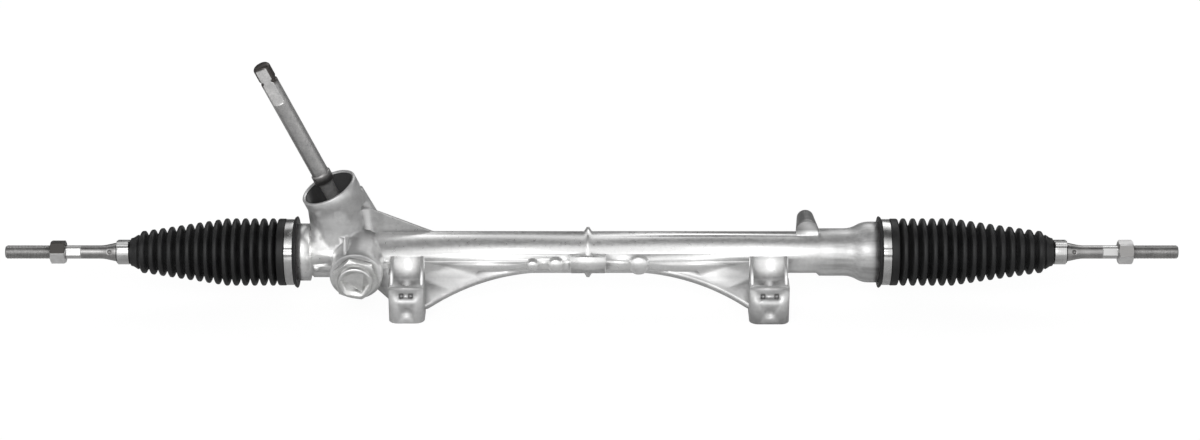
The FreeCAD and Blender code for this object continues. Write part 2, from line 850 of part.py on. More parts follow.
def adjuster_plug():
    outer = plug_r - seat_fit
    plug = turned([
        (plug_start, spring_pocket_r), (plug_start, outer - plug_chamfer),
        (plug_start + plug_chamfer, outer), (plug_face - plug_chamfer, outer),
        (plug_face, outer - plug_chamfer), (plug_face, 0),
        (plug_start + plug_pocket_depth, 0), (plug_start + plug_pocket_depth, spring_pocket_r),
    ])
    recess = hexagon(plug_hex, plug_face - plug_hex_depth, plug_face + 1, plug_hex_turn_deg)
    return on_guide(plug.cut(recess))


def adjuster_lock_nut():
    end = guide_boss_end + lock_ring_height
    nut = chamfered_hexagon(lock_ring_hex, guide_boss_end, end, lock_ring_turn_deg)
    return on_guide(nut.cut(rod(guide_boss_end - 1, end + 1, plug_r + seat_fit)))


# Pieces at the ends of the housing

def rack_stop(side):
    stop = tube(stop_face - stop_width, stop_face, stop_seat_r - seat_fit, stop_bore_r)
    return on_side(stop, side)


def rack_bush():
    end = stop_face - stop_width - face_gap
    bush = tube(end - bush_width, end, stop_seat_r - seat_fit, bar_r + running_fit)
    slots = []
    for k in range(3):
        slot = Part.makeBox(bush_width * 0.7, 2.0, stop_seat_r)
        slot.translate(Vector(end - bush_width, -1, 0))
        slot.rotate(Vector(), across, 120 * k + 60)
        slots.append(slot)
    return bush.cut(slots)


# Housing

def housing_outside():
    """Everything turned about the rack axis, in one profile."""
    half_ring = ring_crest / 2
    groove = left_groove_width / 2
    left_groove_at = left_groove_inset - spigot_start
    left_drum_start = left_drum_length - spigot_start
    left_step = pinion_x + left_body_end
    right_step = spigot_start - right_step_length
    right_flare_start = spigot_start - right_flare_length
    right_flare_end = spigot_start - right_flare_collar
    flare_run = right_flare_end - right_flare_start
    flare_rise = right_flare_r - right_step_r
    flare_middle = (right_flare_start + right_flare_end) / 2
    flare_middle_r = (right_flare_r + right_step_r) / 2
    return turned([
        (-end_face, 0), (-end_face, spigot_r - 1), (1 - end_face, spigot_r), (-spigot_start, spigot_r),
        (-spigot_start, left_collar_r), (left_groove_at - groove, left_collar_r),
        (left_groove_at - groove / 2, left_groove_r), (left_groove_at + groove / 2, left_groove_r),
        (left_groove_at + groove, left_drum_r), (left_drum_start, left_drum_r),
        (left_drum_start + 4, left_body_r), (left_step, left_body_r), (left_step + 4, tube_r),
        (-ring_base / 2, tube_r), (-half_ring, ring_r), (half_ring, ring_r), (ring_base / 2, tube_r),
        (right_step - 1.5, tube_r), (right_step + 1.5, right_step_r),
        (right_flare_start, right_step_r),
        ((right_flare_start + flare_run / 4, right_step_r + flare_rise / 8), (flare_middle, flare_middle_r)),
        ((right_flare_end - flare_run / 4, right_flare_r - flare_rise / 8), (right_flare_end, right_flare_r)),
        (spigot_start, right_flare_r), (spigot_start, spigot_r),
        (end_face - 1, spigot_r), (end_face, spigot_r - 1), (end_face, 0),
    ])


def pinion_tower():
    """The cup, the bearing barrel below it and the cast skirt that joins them to the tube."""
    rim = cup_mouth - cup_rim_length
    cup_base = cup_floor - cup_shoulder
    barrel = turned([
        (tower_foot, 0), (tower_foot, tower_foot_r - 2), (tower_foot + 2, tower_foot_r),
        (needle_end + 4, tower_foot_r), (needle_end + 8, tower_r), (cup_base - 8, tower_r),
        (cup_base, cup_wall_r), (rim - 1.5, cup_wall_r), (rim, cup_rim_r),
        (cup_mouth - 1, cup_rim_r), (cup_mouth, cup_rim_r - 1), (cup_mouth, 0),
    ])
    skirt_foot = Vector(pinion_x - skirt_beside, skirt_y, 0)
    skirt_line = pinion_centre + pinion_axis * skirt_end - skirt_foot
    run = skirt_line.Length
    skirt = turned([(0, 0), (0, skirt_r), (run, cup_wall_r - 1), (run, 0)])
    skirt_line.normalize()
    skirt_side = backward.cross(skirt_line)
    skirt_side.normalize()
    skirt = placed(skirt, skirt_foot, skirt_line, skirt_side)
    lug = turned([
        (lug_start, 0), (lug_start, lug_r + 2), (lug_end - 3, lug_r), (lug_end, lug_r - 3), (lug_end, 0),
    ])
    lug.translate(Vector(0, lug_side, lug_back))
    return fused([on_pinion(barrel), skirt, on_pinion(lug)])


def guide_boss():
    boss = turned([
        (0, 0), (0, guide_boss_r + 2), (guide_boss_end - 14, guide_boss_r),
        (guide_boss_end - 1, guide_boss_r), (guide_boss_end, guide_boss_r - 1), (guide_boss_end, 0),
    ])
    rib_z = math.sqrt(guide_boss_r**2 - guide_rib_offset**2)
    rib = Part.makeBox(guide_rib_end - guide_rib_start, guide_rib_width, guide_rib_height + rib_z)
    rib.translate(Vector(guide_rib_start, guide_rib_offset - guide_rib_width / 2, 0))
    return fused([on_guide(boss), on_guide(rib)])


def foot_outline(half, height):
    """The rounded square plan of a foot, around its bolt."""
    bolt_y = -rack_y
    flat = half - foot_corner_r
    turn = foot_corner_r * (1 - math.sqrt(0.5))
    outline = [Vector(-half, bolt_y - flat, height)]
    for x, y in ((-1, -1), (1, -1), (1, 1), (-1, 1)):
        middle = Vector(x * (half - turn), bolt_y + y * (half - turn), height)
        beside = Vector(x * half, bolt_y + y * flat, height)
        beyond = Vector(x * flat, bolt_y + y * half, height)
        if x == y:
            outline += [beside, (middle, beyond)]
        else:
            outline += [beyond, (middle, beside)]
    return outline


def foot(side, width, niche, eye_offset):
    """One mounting foot at its own bolt, with the niche for the bolt head above it."""
    half = width / 2
    bolt_y = -rack_y
    ground = -rack_z
    boss = bounded(foot_outline(half, ground)).extrude(upward * (foot_ledge - ground))
    block = slab([
        (bolt_y, foot_ledge), (bolt_y, ground + 8), (bolt_y + 16, ground + 14),
        (-8, -tube_r + 2), (0, 0), (0, niche_top_z),
        (niche_top_y, niche_top_z), (niche_foot_y, foot_ledge),
    ], -half + 0.5, half - 0.5)
    solids = [boss, block]
    for start in (niche / 2, -niche / 2 - foot_rib):
        solids.append(slab([
            (-8, foot_rib_top_z), (foot_rib_top_y, foot_rib_top_z),
            (foot_rib_foot_y, foot_ledge + 0.6), (foot_rib_foot_y, foot_ledge - 2), (-8, foot_ledge - 2),
        ], start, start + foot_rib))
    whole = fused(solids)
    front = bolt_y - half
    slope = slab([
        (foot_slope_y, foot_ledge), (front, foot_slope_z), (front - 10, foot_slope_z),
        (front - 10, foot_ledge + 5), (foot_slope_y, foot_ledge + 5),
    ], -half - 1, half + 1)
    cutters = [slope]
    dimple = turned([(0, 0), (0, foot_dimple_r), (foot_dimple_depth, foot_dimple_r * 0.45), (foot_dimple_depth, 0)])
    cutters.append(placed(dimple, Vector(0, front, foot_dimple_z), backward, across * -1))
    eye_share = (eye_z - foot_ledge) / (foot_slope_z - foot_ledge)
    eye_y = foot_slope_y + (front - foot_slope_y) * eye_share
    inward = Vector(0, foot_ledge - foot_slope_z, front - foot_slope_y)
    inward.normalize()
    for x in (-eye_offset, eye_offset):
        eye = turned([(-1, 0), (-1, eye_r), (eye_depth, eye_r * 0.8), (eye_depth, 0)])
        cutters.append(placed(eye, Vector(x, eye_y, eye_z), inward, across))
    whole = whole.cut(cutters)
    whole.translate(across * (side * bolt_x))
    return whole


def arm(side):
    """The curved web from the middle of the tube out to one foot."""
    angle = math.radians(arm_angle_deg)
    out = Vector(0, -math.cos(angle), -math.sin(angle))
    over = Vector(0, -math.sin(angle), math.cos(angle))
    arm_foot_x = bolt_x - arm_foot_inset
    arm_middle_x = bolt_x - arm_middle_inset

    def at(x, reach):
        return across * (x * side) + out * reach

    edge_start = at(arm_foot_x, arm_reach)
    edge_end = at(arm_tube_x, arm_start)
    slope = (arm_reach - arm_middle_reach) / (arm_foot_x - arm_middle_x)
    outline = [
        at(arm_tube_x, bar_r + 3), at(bolt_x, bar_r + 3),
        at(bolt_x, arm_reach + slope * 8), at(arm_foot_x + 8, arm_reach + slope * 8), edge_start,
        (at(arm_middle_x, arm_middle_reach), edge_end),
    ]
    web = bounded(outline)
    web.translate(over * (arm_above - arm_thickness))
    plate = web.extrude(over * arm_thickness)
    rounded = []
    for edge in plate.Edges:
        if isinstance(edge.Curve, Part.Circle):
            rounded.append(edge)
    return plate.makeFillet(arm_round, rounded)


def rail(side):
    """The squared lower front edge of the tube, deeper towards the foot."""
    foot_x = bolt_x * side
    skirt_rail_x = bolt_x - skirt_rail_length
    low = slab([
        (0, rail_top), (-tube_r, rail_top), (-tube_r, rail_corner), (rail_foot_y, rail_foot_z), (0, rail_foot_z),
    ], 0, foot_x)
    deep = slab([
        (-8, rail_top), (-tube_r, rail_top), (-tube_r, skirt_rail_z), (-8, -tube_r - 1),
    ], skirt_rail_x * side, foot_x)
    taper = bounded([
        Vector(skirt_rail_x * side, -tube_r - 1, rail_corner),
        Vector(skirt_rail_x * side, -tube_r - 1, -tube_r - 5),
        Vector((skirt_rail_x + skirt_rail_run) * side, -tube_r - 1, -tube_r - 5),
    ]).extrude(backward * tube_r)
    return low.fuse(deep.cut(taper))


def middle_pad():
    """The drafted pad on the front of the tube under the ring."""
    base = bounded([
        Vector(x, -bar_r, z)
        for x, z in (
            (-pad_width / 2, pad_bottom), (pad_width / 2, pad_bottom),
            (pad_width / 2, pad_top), (-pad_width / 2, pad_top),
        )
    ])
    block = base.extrude(backward * (pad_face + bar_r))
    draft = slab([
        (pad_face - 1, pad_top - pad_draft), (pad_face, pad_top - pad_draft),
        (-bar_r, pad_top + pad_draft), (pad_face - 1, pad_top + pad_draft),
    ], -pad_width, pad_width)
    sides = []
    for side in (1, -1):
        corners = [(pad_width / 2 - pad_draft, pad_face), (pad_width / 2, -tube_r + 1), (pad_width, -tube_r + 1)]
        corners.append((pad_width, pad_face))
        wedge = bounded([Vector(x * side, y, pad_bottom - 1) for x, y in corners])
        sides.append(wedge.extrude(upward * (pad_top - pad_bottom + 2)))
    return block.cut([draft] + sides)


def rail_boss(x, base_r, face_r):
    proud = -tube_r + 3 - rail_boss_face
    boss = turned([(0, 0), (0, base_r), (3, base_r), (proud, face_r), (proud, 0)])
    return placed(boss, Vector(x, -tube_r + 3, rail_boss_z), backward * -1, across)


def top_stub():
    length = stub_back - stub_front
    stub = turned([
        (0, 0), (0, stub_front_r - 0.8), (0.8, stub_front_r), (length - stub_round, stub_back_r),
        (length, stub_back_r - stub_round), (length, 0),
    ])
    return placed(stub, Vector(spigot_start - stub_inset, stub_front, stub_z), backward, across * -1)


def side_pin():
    pin_y = -math.sqrt(left_drum_r**2 - side_pin_z**2) - side_pin_proud
    pin = rod(0, left_drum_r / 2, side_pin_r)
    return placed(pin, Vector(side_pin_inset - spigot_start, pin_y, side_pin_z), backward, across * -1)


def gusset():
    """The upright web from the tower down to the tube."""
    top = pinion_centre + pinion_axis * gusset_top_s + pinion_side * (lug_side + lug_r)
    gusset_x = pinion_x + gusset_length
    web = bounded([
        Vector(gusset_x, gusset_y, tube_r - 1), Vector(top.x, gusset_y, top.z),
        Vector(top.x - lug_r, gusset_y, top.z), Vector(pinion_x - 5, gusset_y, 10),
        Vector(gusset_x, gusset_y, 10),
    ])
    return web.extrude(backward * gusset_thickness)


def side_web():
    """The short wall between the guide boss and the left foot."""
    foot_x = -(mount_spacing + left_niche_width) / 2 - foot_rib / 2
    side_web_left = pinion_x + side_web_start
    side_web_foot_x = -bolt_x - side_web_inset
    corners = [
        (side_web_left, side_web_top), (foot_x, side_web_top), (foot_x, side_web_foot_z),
        (side_web_foot_x, side_web_foot_z), (side_web_left + 4, side_web_low_z), (side_web_left, side_web_low_z),
    ]
    wall = bounded([Vector(x, side_web_front, z) for x, z in corners])
    return wall.extrude(backward * side_web_depth)


def pinion_bores():
    """The stepped bore for the pinion, from the closed foot up to the mouth of the cup."""
    return on_pinion(turned([
        (tail_end - 2, 0), (tail_end - 2, needle_shell_r - 1.5), (tail_end + 0.9, needle_shell_r - 1.5),
        (tail_end + 0.9, needle_shell_r), (needle_end, needle_shell_r), (needle_end, chamber_r),
        (bearing_start - face_gap, chamber_r), (bearing_start - face_gap, bearing_r),
        (bearing_end, bearing_r), (bearing_end, ring_nut_r), (ring_nut_end + face_gap / 2, ring_nut_r),
        (ring_nut_end + face_gap / 2, oil_seal_r), (cup_floor, oil_seal_r), (cup_floor, cup_bore_r),
        (cup_mouth + 1, cup_bore_r), (cup_mouth + 1, 0),
    ]))


def guide_bores():
    step = guide_end + 1
    return on_guide(turned([
        (0, 0), (0, guide_r), (step, guide_r), (step, plug_r), (guide_boss_end + 1, plug_r),
        (guide_boss_end + 1, 0),
    ]))


def rack_bores():
    bush_start = stop_face - stop_width - face_gap - bush_width
    return turned([
        (-end_face - 1, 0), (-end_face - 1, end_bore_r), (-stop_face, end_bore_r),
        (-stop_face, stop_seat_r), (stop_width - stop_face, stop_seat_r),
        (stop_width - stop_face, guide_bore_r), (pinion_x + 45, guide_bore_r),
        (pinion_x + 47, tube_bore_r), (bush_start, tube_bore_r), (bush_start, stop_seat_r),
        (stop_face, stop_seat_r), (stop_face, end_bore_r), (end_face + 1, end_bore_r), (end_face + 1, 0),
    ])


def bolt_hole(side):
    return Part.makeCylinder(bolt_hole_r, 2 * rack_z, Vector(bolt_x * side, -rack_y, -1.5 * rack_z))


def rack_housing():
    solids = [housing_outside(), pinion_tower(), guide_boss(), gusset(), side_web(), top_stub(), side_pin()]
    solids.append(foot(-1, left_foot_width, left_niche_width, left_eye_offset))
    solids.append(foot(1, right_foot_width, right_niche_width, right_eye_offset))
    solids += [arm(-1), arm(1), rail(-1), rail(1), middle_pad()]
    solids += [rail_boss(*boss) for boss in rail_bosses]
    casting = fused(solids)
    for bores in (rack_bores(), pinion_bores(), guide_bores(), bolt_hole(-1), bolt_hole(1)):
        casting = casting.cut(bores)
    return casting


pieces = {
    "rack_housing": rack_housing,
    "rack_bar": rack_bar,
    "rack_bush": rack_bush,
    "pinion_shaft": pinion_shaft,
    "pinion_needle_bearing": needle_bearing,
    "pinion_bearing_inner_ring": bearing_inner_ring,
    "pinion_bearing_outer_ring": bearing_outer_ring,
    "pinion_circlip": pinion_circlip,
    "pinion_ring_nut": pinion_ring_nut,
    "pinion_oil_seal": pinion_oil_seal,
    "pinion_dust_cover": pinion_dust_cover,
    "rack_guide": rack_guide,
    "rack_guide_liner": guide_liner_sheet,
    "rack_guide_o_ring": guide_o_ring,
    "rack_guide_spring": guide_spring,
    "adjuster_plug": adjuster_plug,
    "adjuster_lock_nut": adjuster_lock_nut,
}
paired_pieces = {
    "rack_stop": rack_stop,
    "lock_washer": lock_washer,
    "ball_socket": ball_socket,
    "ball_liner": ball_liner,
    "tie_rod": tie_rod,
    "tie_rod_lock_nut": tie_rod_lock_nut,
    "bellows": bellows,
    "bellows_big_clamp": big_clamp,
    "bellows_small_clamp": small_clamp,
}


def write(name, shape):
    shape = shape.copy()
    shape.translate(Vector(0, rack_y, rack_z))
    shape.exportStep("parts/" + name + ".step")


os.makedirs("parts", exist_ok=True)
for piece, make in pieces.items():
    write(piece, make())
for piece, make in paired_pieces.items():
    write("left_" + piece, make(-1))
    write("right_" + piece, make(1))
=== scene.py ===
"""Looks of a manual rack-and-pinion steering rack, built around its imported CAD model."""

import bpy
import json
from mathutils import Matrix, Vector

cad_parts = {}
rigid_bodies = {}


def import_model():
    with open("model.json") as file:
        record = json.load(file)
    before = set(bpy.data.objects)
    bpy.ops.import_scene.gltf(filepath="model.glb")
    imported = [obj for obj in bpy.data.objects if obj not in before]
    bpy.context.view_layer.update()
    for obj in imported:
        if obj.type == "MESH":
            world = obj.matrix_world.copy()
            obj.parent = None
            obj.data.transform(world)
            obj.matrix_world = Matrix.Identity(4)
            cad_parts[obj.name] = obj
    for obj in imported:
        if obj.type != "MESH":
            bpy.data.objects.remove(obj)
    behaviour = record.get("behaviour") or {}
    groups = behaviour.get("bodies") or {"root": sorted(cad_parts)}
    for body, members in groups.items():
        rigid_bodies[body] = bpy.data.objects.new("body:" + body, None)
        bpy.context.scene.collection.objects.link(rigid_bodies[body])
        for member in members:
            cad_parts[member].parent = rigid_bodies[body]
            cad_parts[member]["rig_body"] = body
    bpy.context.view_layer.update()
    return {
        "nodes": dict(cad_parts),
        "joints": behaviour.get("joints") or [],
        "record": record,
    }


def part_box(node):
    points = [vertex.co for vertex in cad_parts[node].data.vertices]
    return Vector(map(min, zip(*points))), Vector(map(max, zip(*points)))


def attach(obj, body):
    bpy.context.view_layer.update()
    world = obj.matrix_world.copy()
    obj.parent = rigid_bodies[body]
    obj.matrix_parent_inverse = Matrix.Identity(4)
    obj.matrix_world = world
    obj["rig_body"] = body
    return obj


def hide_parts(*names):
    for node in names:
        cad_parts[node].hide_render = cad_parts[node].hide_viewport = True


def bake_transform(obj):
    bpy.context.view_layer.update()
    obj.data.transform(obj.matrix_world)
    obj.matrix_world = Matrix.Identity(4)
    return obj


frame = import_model()

import json
import math
from contextlib import contextmanager

import bmesh
import bpy
from bpy.props import FloatProperty, FloatVectorProperty, IntProperty, PointerProperty
from mathutils import Matrix, Vector

bl_info = {
    "name": "Steering rack",
    "version": (1, 0, 0),
    "blender": (4, 5, 0),
    "location": "3D View > Sidebar > Steering rack",
    "description": "Builds the visible pieces of a steering rack around its solid model",
    "category": "Object",
}

# The frame: slots, lines and centres that the pieces are built on

slot_of = {entry["node"]: entry["material_slot"] for entry in frame["record"]["subparts"]}
joints = {joint["name"]: joint for joint in frame["joints"]}
outward = {"left": -1, "right": 1}
ball_centres = {side: Vector(joints[side + "_tie_rod_lift"]["pos_m"]) for side in outward}
rack_line = Vector((0, ball_centres["left"].y, ball_centres["left"].z))
pinion_point = Vector(joints["pinion_spin"]["pos_m"])
pinion_line = Vector(joints["pinion_spin"]["axis"])
flat_side = Vector((1, 0, 0)).cross(pinion_line).normalized()
camera_elevation = math.radians(24)
to_front = Vector((0, -math.cos(camera_elevation), math.sin(camera_elevation)))

# Places on the casting, in metres

bolt_x = 0.18675
tower_right, tower_bottom = -0.212, 0.084
boss_left, boss_right, boss_shade_top = -0.256, -0.222, 0.080
feet_top, arms_top = 0.020, 0.040
stub_left, stub_right, stub_bottom = 0.205, 0.250, 0.080
flare_left = 0.245
gusset_left, gusset_right, gusset_bottom = -0.215, -0.090, rack_line.z + 0.024
# Where painted shade darkens the eye recesses of the feet
eye_bottom, eye_top, eye_half_width = rack_line.z - 0.0268, rack_line.z - 0.0222, 0.0024
eye_places = (-bolt_x - 0.0048, -bolt_x + 0.0048, bolt_x - 0.0070, bolt_x + 0.0070)

# Places along the pinion shaft, and along a tie rod from its ball's centre

shaft_radius = 0.00898
sleeve_top = 0.0940
groove_start, groove_end = 0.2110, 0.2150
flat_start, flat_height = 0.186, 0.0072
ball_radius = 0.0135
stake_place = 0.1045
flats_start, flats_end = 0.1345, 0.1500

steps_around = 96


def length(name, description, default, **limits):
    """A size in metres for the sidebar."""
    return FloatProperty(name=name, description=description, default=default, unit="LENGTH", **limits)


def tint(name, description, default):
    """A colour for the sidebar."""
    return FloatVectorProperty(
        name=name, description=description, default=default, min=0, max=1, subtype="COLOR")


class HousingSizes(bpy.types.PropertyGroup):
    """The casting's surface"""

    grain: length("Cast grain", "Size of the sand-like grain on the casting", 0.0011, min=0.0002)
    edge: length("Edge rounding", "Radius to which cast edges look rounded", 0.0008, min=0.0)
    colour: tint("Aluminium", "Colour of the cast aluminium", (0.93, 0.93, 0.925))
    stain: tint("Tarnish", "Colour of the dull patches on the casting", (0.62, 0.62, 0.62))


class BellowsSizes(bpy.types.PropertyGroup):
    """The folded rubber sleeves between the housing and the tie rods"""

    folds: IntProperty(name="Folds", description="Folds of one bellows", default=15, min=3)
    full_folds: IntProperty(
        name="Full folds", description="Folds at the housing end that have the full size", default=6, min=1)
    slide_folds: FloatProperty(
        name="Sliding folds", description="Folds that close up as the rack slides", default=9.5, min=1)
    bend_folds: FloatProperty(
        name="Bending folds", description="Folds after which the sleeve has tilted up or down with the rod",
        default=12.0, min=1)
    roundness: FloatProperty(
        name="Crest roundness", description="Above 1 the crests are round and the valleys narrow",
        default=2.0, min=0.5, max=4, subtype="FACTOR")
    crest: length("Crest radius", "Radius over the full folds", 0.0351)
    small_crest: length("Small crest radius", "Radius over the last fold", 0.0220)
    depth: length("Fold depth", "Depth of a fold from crest to valley", 0.0078)
    wall: length("Wall", "Thickness of the rubber", 0.0015)
    lip_width: length("Lip width", "Rubber lip beside the big clamp", 0.0030)
    lip: length("Lip radius", "Radius over the lip", 0.0374)
    seat_width: length("Seat width", "Room for the big clamp", 0.0094)
    seat: length("Seat radius", "Radius under the big clamp", 0.0332)
    block_width: length("Block width", "Plain rubber between the clamp and the folds", 0.0090)
    block: length("Block radius", "Radius over that plain rubber", 0.0348)
    neck_width: length("Neck width", "Between the last fold and the cuff", 0.0090)
    cuff_width: length("Cuff width", "Room for the small clamp", 0.0143)
    cuff: length("Cuff radius", "Radius under the small clamp", 0.01155)
    colour: tint("Rubber", "Colour of the bellows", (0.0095, 0.0095, 0.0098))


class RodSizes(bpy.types.PropertyGroup):
    """The tie rods, their threads and the clamps"""

    pitch: length("Thread pitch", "Pitch of the rod's thread", 0.0015, min=0.0005)
    crest: length("Thread radius", "Outer radius of the thread", 0.0070)
    root: length("Thread root", "Radius at the root of the thread", 0.00650)
    thread_length: length("Thread length", "Length of the thread", 0.0570)
    colour: tint("Rod steel", "Colour of the rods", (0.44, 0.435, 0.43))
    band_colour: tint("Clamp steel", "Colour of the clamp bands", (0.74, 0.74, 0.735))


class StudioSizes(bpy.types.PropertyGroup):
    """Camera and light"""

    elevation: FloatProperty(
        name="Camera elevation", description="How far the camera looks down",
        default=camera_elevation, subtype="ANGLE")
    distance: length("Camera distance", "From the camera to the rack", 2.964)
    key: FloatProperty(
        name="Key light", description="Strength of the front light", default=15.0, subtype="POWER")
    sky: FloatProperty(
        name="Surrounding light", description="Strength of the light all round", default=0.75)


# Nodes

def socket_of(item):
    """An output socket, from a socket or a node. A Mix node's colour is its third output."""
    if isinstance(item, bpy.types.Node):
        return item.outputs[2 if item.bl_idname == "ShaderNodeMix" else 0]
    return item


def tree_of(*items):
    """The tree of the first node or socket among some values."""
    return next(item.id_data for item in items if isinstance(item, (bpy.types.Node, bpy.types.NodeSocket)))


def feed(socket, value):
    """Links a node or a socket into an input, or sets the input to a plain value."""
    if isinstance(value, (bpy.types.Node, bpy.types.NodeSocket)):
        socket.id_data.links.new(socket_of(value), socket)
    else:
        socket.default_value = value


def add(tree, kind, **values):
    """A node with the given properties and inputs. A key has _ where an input's name has a space."""
    node = tree.nodes.new(kind)
    for key, value in values.items():
        label = key.replace("_", " ")
        if label in node.inputs:
            feed(node.inputs[label], value)
        else:
            setattr(node, key, value)
    return node


def sum_of(operation, *items, clamp=False):
    """A Math node on sockets, nodes and numbers."""
    node = add(tree_of(*items), "ShaderNodeMath", operation=operation, use_clamp=clamp)
    for socket, item in zip(node.inputs, items):
        feed(socket, item)
    return node.outputs[0]


def times(first, second):
    return sum_of("MULTIPLY", first, second)


def most(first, *others):
    """The largest of several values."""
    for other in others:
        first = sum_of("MAXIMUM", first, other)
    return first


def spread(source, low, high, to_low, to_high):
    """A value moved from one range to another and kept inside it."""
    return add(tree_of(source), "ShaderNodeMapRange", Value=source, From_Min=low, From_Max=high,
               To_Min=to_low, To_Max=to_high)


def zone(split, axis, low, high, blur=0.010):
    """1 between two places along an axis of the piece and 0 beyond them, with soft ends."""
    along = split.outputs[axis]
    rise = spread(along, low - blur, low + blur, 0.0, 1.0) if low is not None else 1.0
    fall = spread(along, high - blur, high + blur, 1.0, 0.0) if high is not None else 1.0
    return times(rise, fall)


def place(tree, scale=(1, 1, 1)):
    """The piece's own coordinates, stretched."""
    coordinates = add(tree, "ShaderNodeTexCoord")
    return add(tree, "ShaderNodeMapping", Vector=coordinates.outputs["Object"], Scale=scale)


def split_place(tree):
    """The piece's own coordinates, one by one."""
    return add(tree, "ShaderNodeSeparateXYZ", Vector=place(tree))


def noise(where, scale, detail, rough):
    return add(tree_of(where), "ShaderNodeTexNoise", Vector=where, Scale=scale, Detail=detail,
               Roughness=rough)


def bump(height, strength, distance, **normal):
    return add(tree_of(height), "ShaderNodeBump", Height=height, Strength=strength, Distance=distance,
               **normal)


def ramp(source, stops):
    """A colour ramp from (position, colour) stops."""
    node = add(tree_of(source), "ShaderNodeValToRGB", Fac=source)
    elements = node.color_ramp.elements
    while len(elements) < len(stops):
        elements.new(0.5)
    for element, (at, colour) in zip(elements, stops):
        element.position = at
        element.color = (*colour, 1)
    return node


def mixed(share, first, second, way="MIX"):
    """Two colours or colour nodes mixed by a share, which is a node, a socket or a number."""
    node = add(tree_of(share, first, second), "ShaderNodeMix", data_type="RGBA", blend_type=way)
    for index, item in ((0, share), (6, first), (7, second)):
        feed(node.inputs[index], (*item, 1) if isinstance(item, tuple) else item)
    return node


def mixed_light(share, first, second):
    """Two shaders mixed by a share."""
    node = add(tree_of(share), "ShaderNodeMixShader")
    for socket, item in zip(node.inputs, (share, first, second)):
        feed(socket, item)
    return node


def grey(value):
    return (value, value, value)


def toned(colour, factor):
    """A colour made darker or lighter."""
    return tuple(part * factor for part in colour)


# Materials

def blank(name):
    """A material and its node tree, ready for nodes."""
    material = bpy.data.materials.new(name)
    material.use_nodes = True
    return material, material.node_tree


def coat(tree, **values):
    """Feeds the material's shader. A key has _ where an input's name has a space."""
    for key, value in values.items():
        feed(tree.nodes["Principled BSDF"].inputs[key.replace("_", " ")], value)


def cast_aluminium(sizes):
    """Bright drawn-looking tube, with duller and grainier tower, feet, stub and flare. Painted shade
    darkens the stub, the lower part of the boss, the lower arms and the eye recesses of the feet.
    """
    material, tree = blank("cast_aluminium")
    where = place(tree)
    split = add(tree, "ShaderNodeSeparateXYZ", Vector=where)
    patches = noise(where, 22, 6, 0.62)
    spots = noise(where, 260, 5, 0.6)
    grain = noise(where, 1 / sizes.grain, 3, 0.5)
    streaks = noise(place(tree, (9, 150, 150)), 1, 5, 0.6)

    cup = times(zone(split, "X", None, tower_right), zone(split, "Z", tower_bottom, None, 0.006))
    boss = times(zone(split, "X", boss_left, boss_right, 0.006), 1.12)
    feet = times(zone(split, "Z", None, feet_top, 0.003), 0.9)
    arms = times(zone(split, "Z", None, arms_top, 0.004), 0.88)
    stub = times(zone(split, "X", stub_left, stub_right, 0.004),
                 zone(split, "Z", stub_bottom, None, 0.002))
    flare = zone(split, "X", flare_left, None, 0.012)
    uneven = spread(patches, 0.35, 0.68, -0.18, 0.18)
    dull = sum_of("MULTIPLY_ADD", most(cup, boss, feet, arms, stub, flare), 0.82,
                  sum_of("ADD", uneven, 0.06), clamp=True)

    metal = mixed(dull, tuple(sizes.colour), tuple(sizes.stain))
    speckle = ramp(spots, [(0.35, grey(0.88)), (0.62, grey(1.0))])
    drawn = ramp(streaks, [(0.36, grey(0.66)), (0.60, grey(1.0))])
    speckled = mixed(0.7, metal, speckle, "MULTIPLY")
    streaked = mixed(sum_of("MULTIPLY_ADD", flare, 0.65, 0.25), speckled, drawn, "MULTIPLY")

    # Painted shade: darker colour on the lower boss and in the eye recesses of the feet
    boss_painted_shade = times(boss, zone(split, "Z", None, boss_shade_top, 0.006))
    eye_shade_row = times(zone(split, "Z", eye_bottom, eye_top, 0.0008), 1.5)
    painted_eye_shade = [times(zone(split, "X", middle - eye_half_width, middle + eye_half_width, 0.0008), eye_shade_row)
            for middle in eye_places]
    # dark is painted shade on the stub, the lower boss, the lower arms and the eye recesses, multiplied
    # into the colour towards 0.45 grey
    dark = most(stub, times(boss_painted_shade, 0.40), times(arms, 0.15), *painted_eye_shade)
    gusset = times(zone(split, "X", gusset_left, gusset_right, 0.006),
                   zone(split, "Z", gusset_bottom, None, 0.002))
    bevel = add(tree, "ShaderNodeBevel", samples=6, Radius=sizes.edge)
    coarse = bump(patches, 0.22, 0.0012, Normal=bevel)
    coat(tree,
         Base_Color=mixed(dark, streaked, grey(0.45), "MULTIPLY"),
         Metallic=sum_of("MULTIPLY_ADD", gusset, -0.40, 0.85),
         Roughness=sum_of("MULTIPLY_ADD", dull, 0.14, spread(spots, 0.3, 0.7, 0.26, 0.38)),
         Normal=bump(grain, 0.38, 0.00022, Normal=coarse))
    return material


def turned_metal(name, colour, rough, ring_scale=(2600, 60, 60), dark=0.72, edge=0.0003, dirt=0.25):
    """Steel or aluminium with the fine rings that turning or drawing leaves."""
    material, tree = blank(name)
    rings = noise(place(tree, ring_scale), 1, 3, 0.6)
    stains = noise(place(tree), 90, 6, 0.65)
    tone = ramp(stains, [(0.34, toned(colour, dark)), (0.64, colour)])
    lines = ramp(rings, [(0.3, grey(1 - dirt)), (0.7, grey(1.0))])
    bevel = add(tree, "ShaderNodeBevel", samples=4, Radius=edge)
    coat(tree,
         Base_Color=mixed(0.8, tone, lines, "MULTIPLY"),
         Metallic=1.0,
         Roughness=spread(stains, 0.3, 0.7, rough - 0.06, rough + 0.10),
         Normal=bump(rings, 0.25, 0.00006, Normal=bevel))
    return material


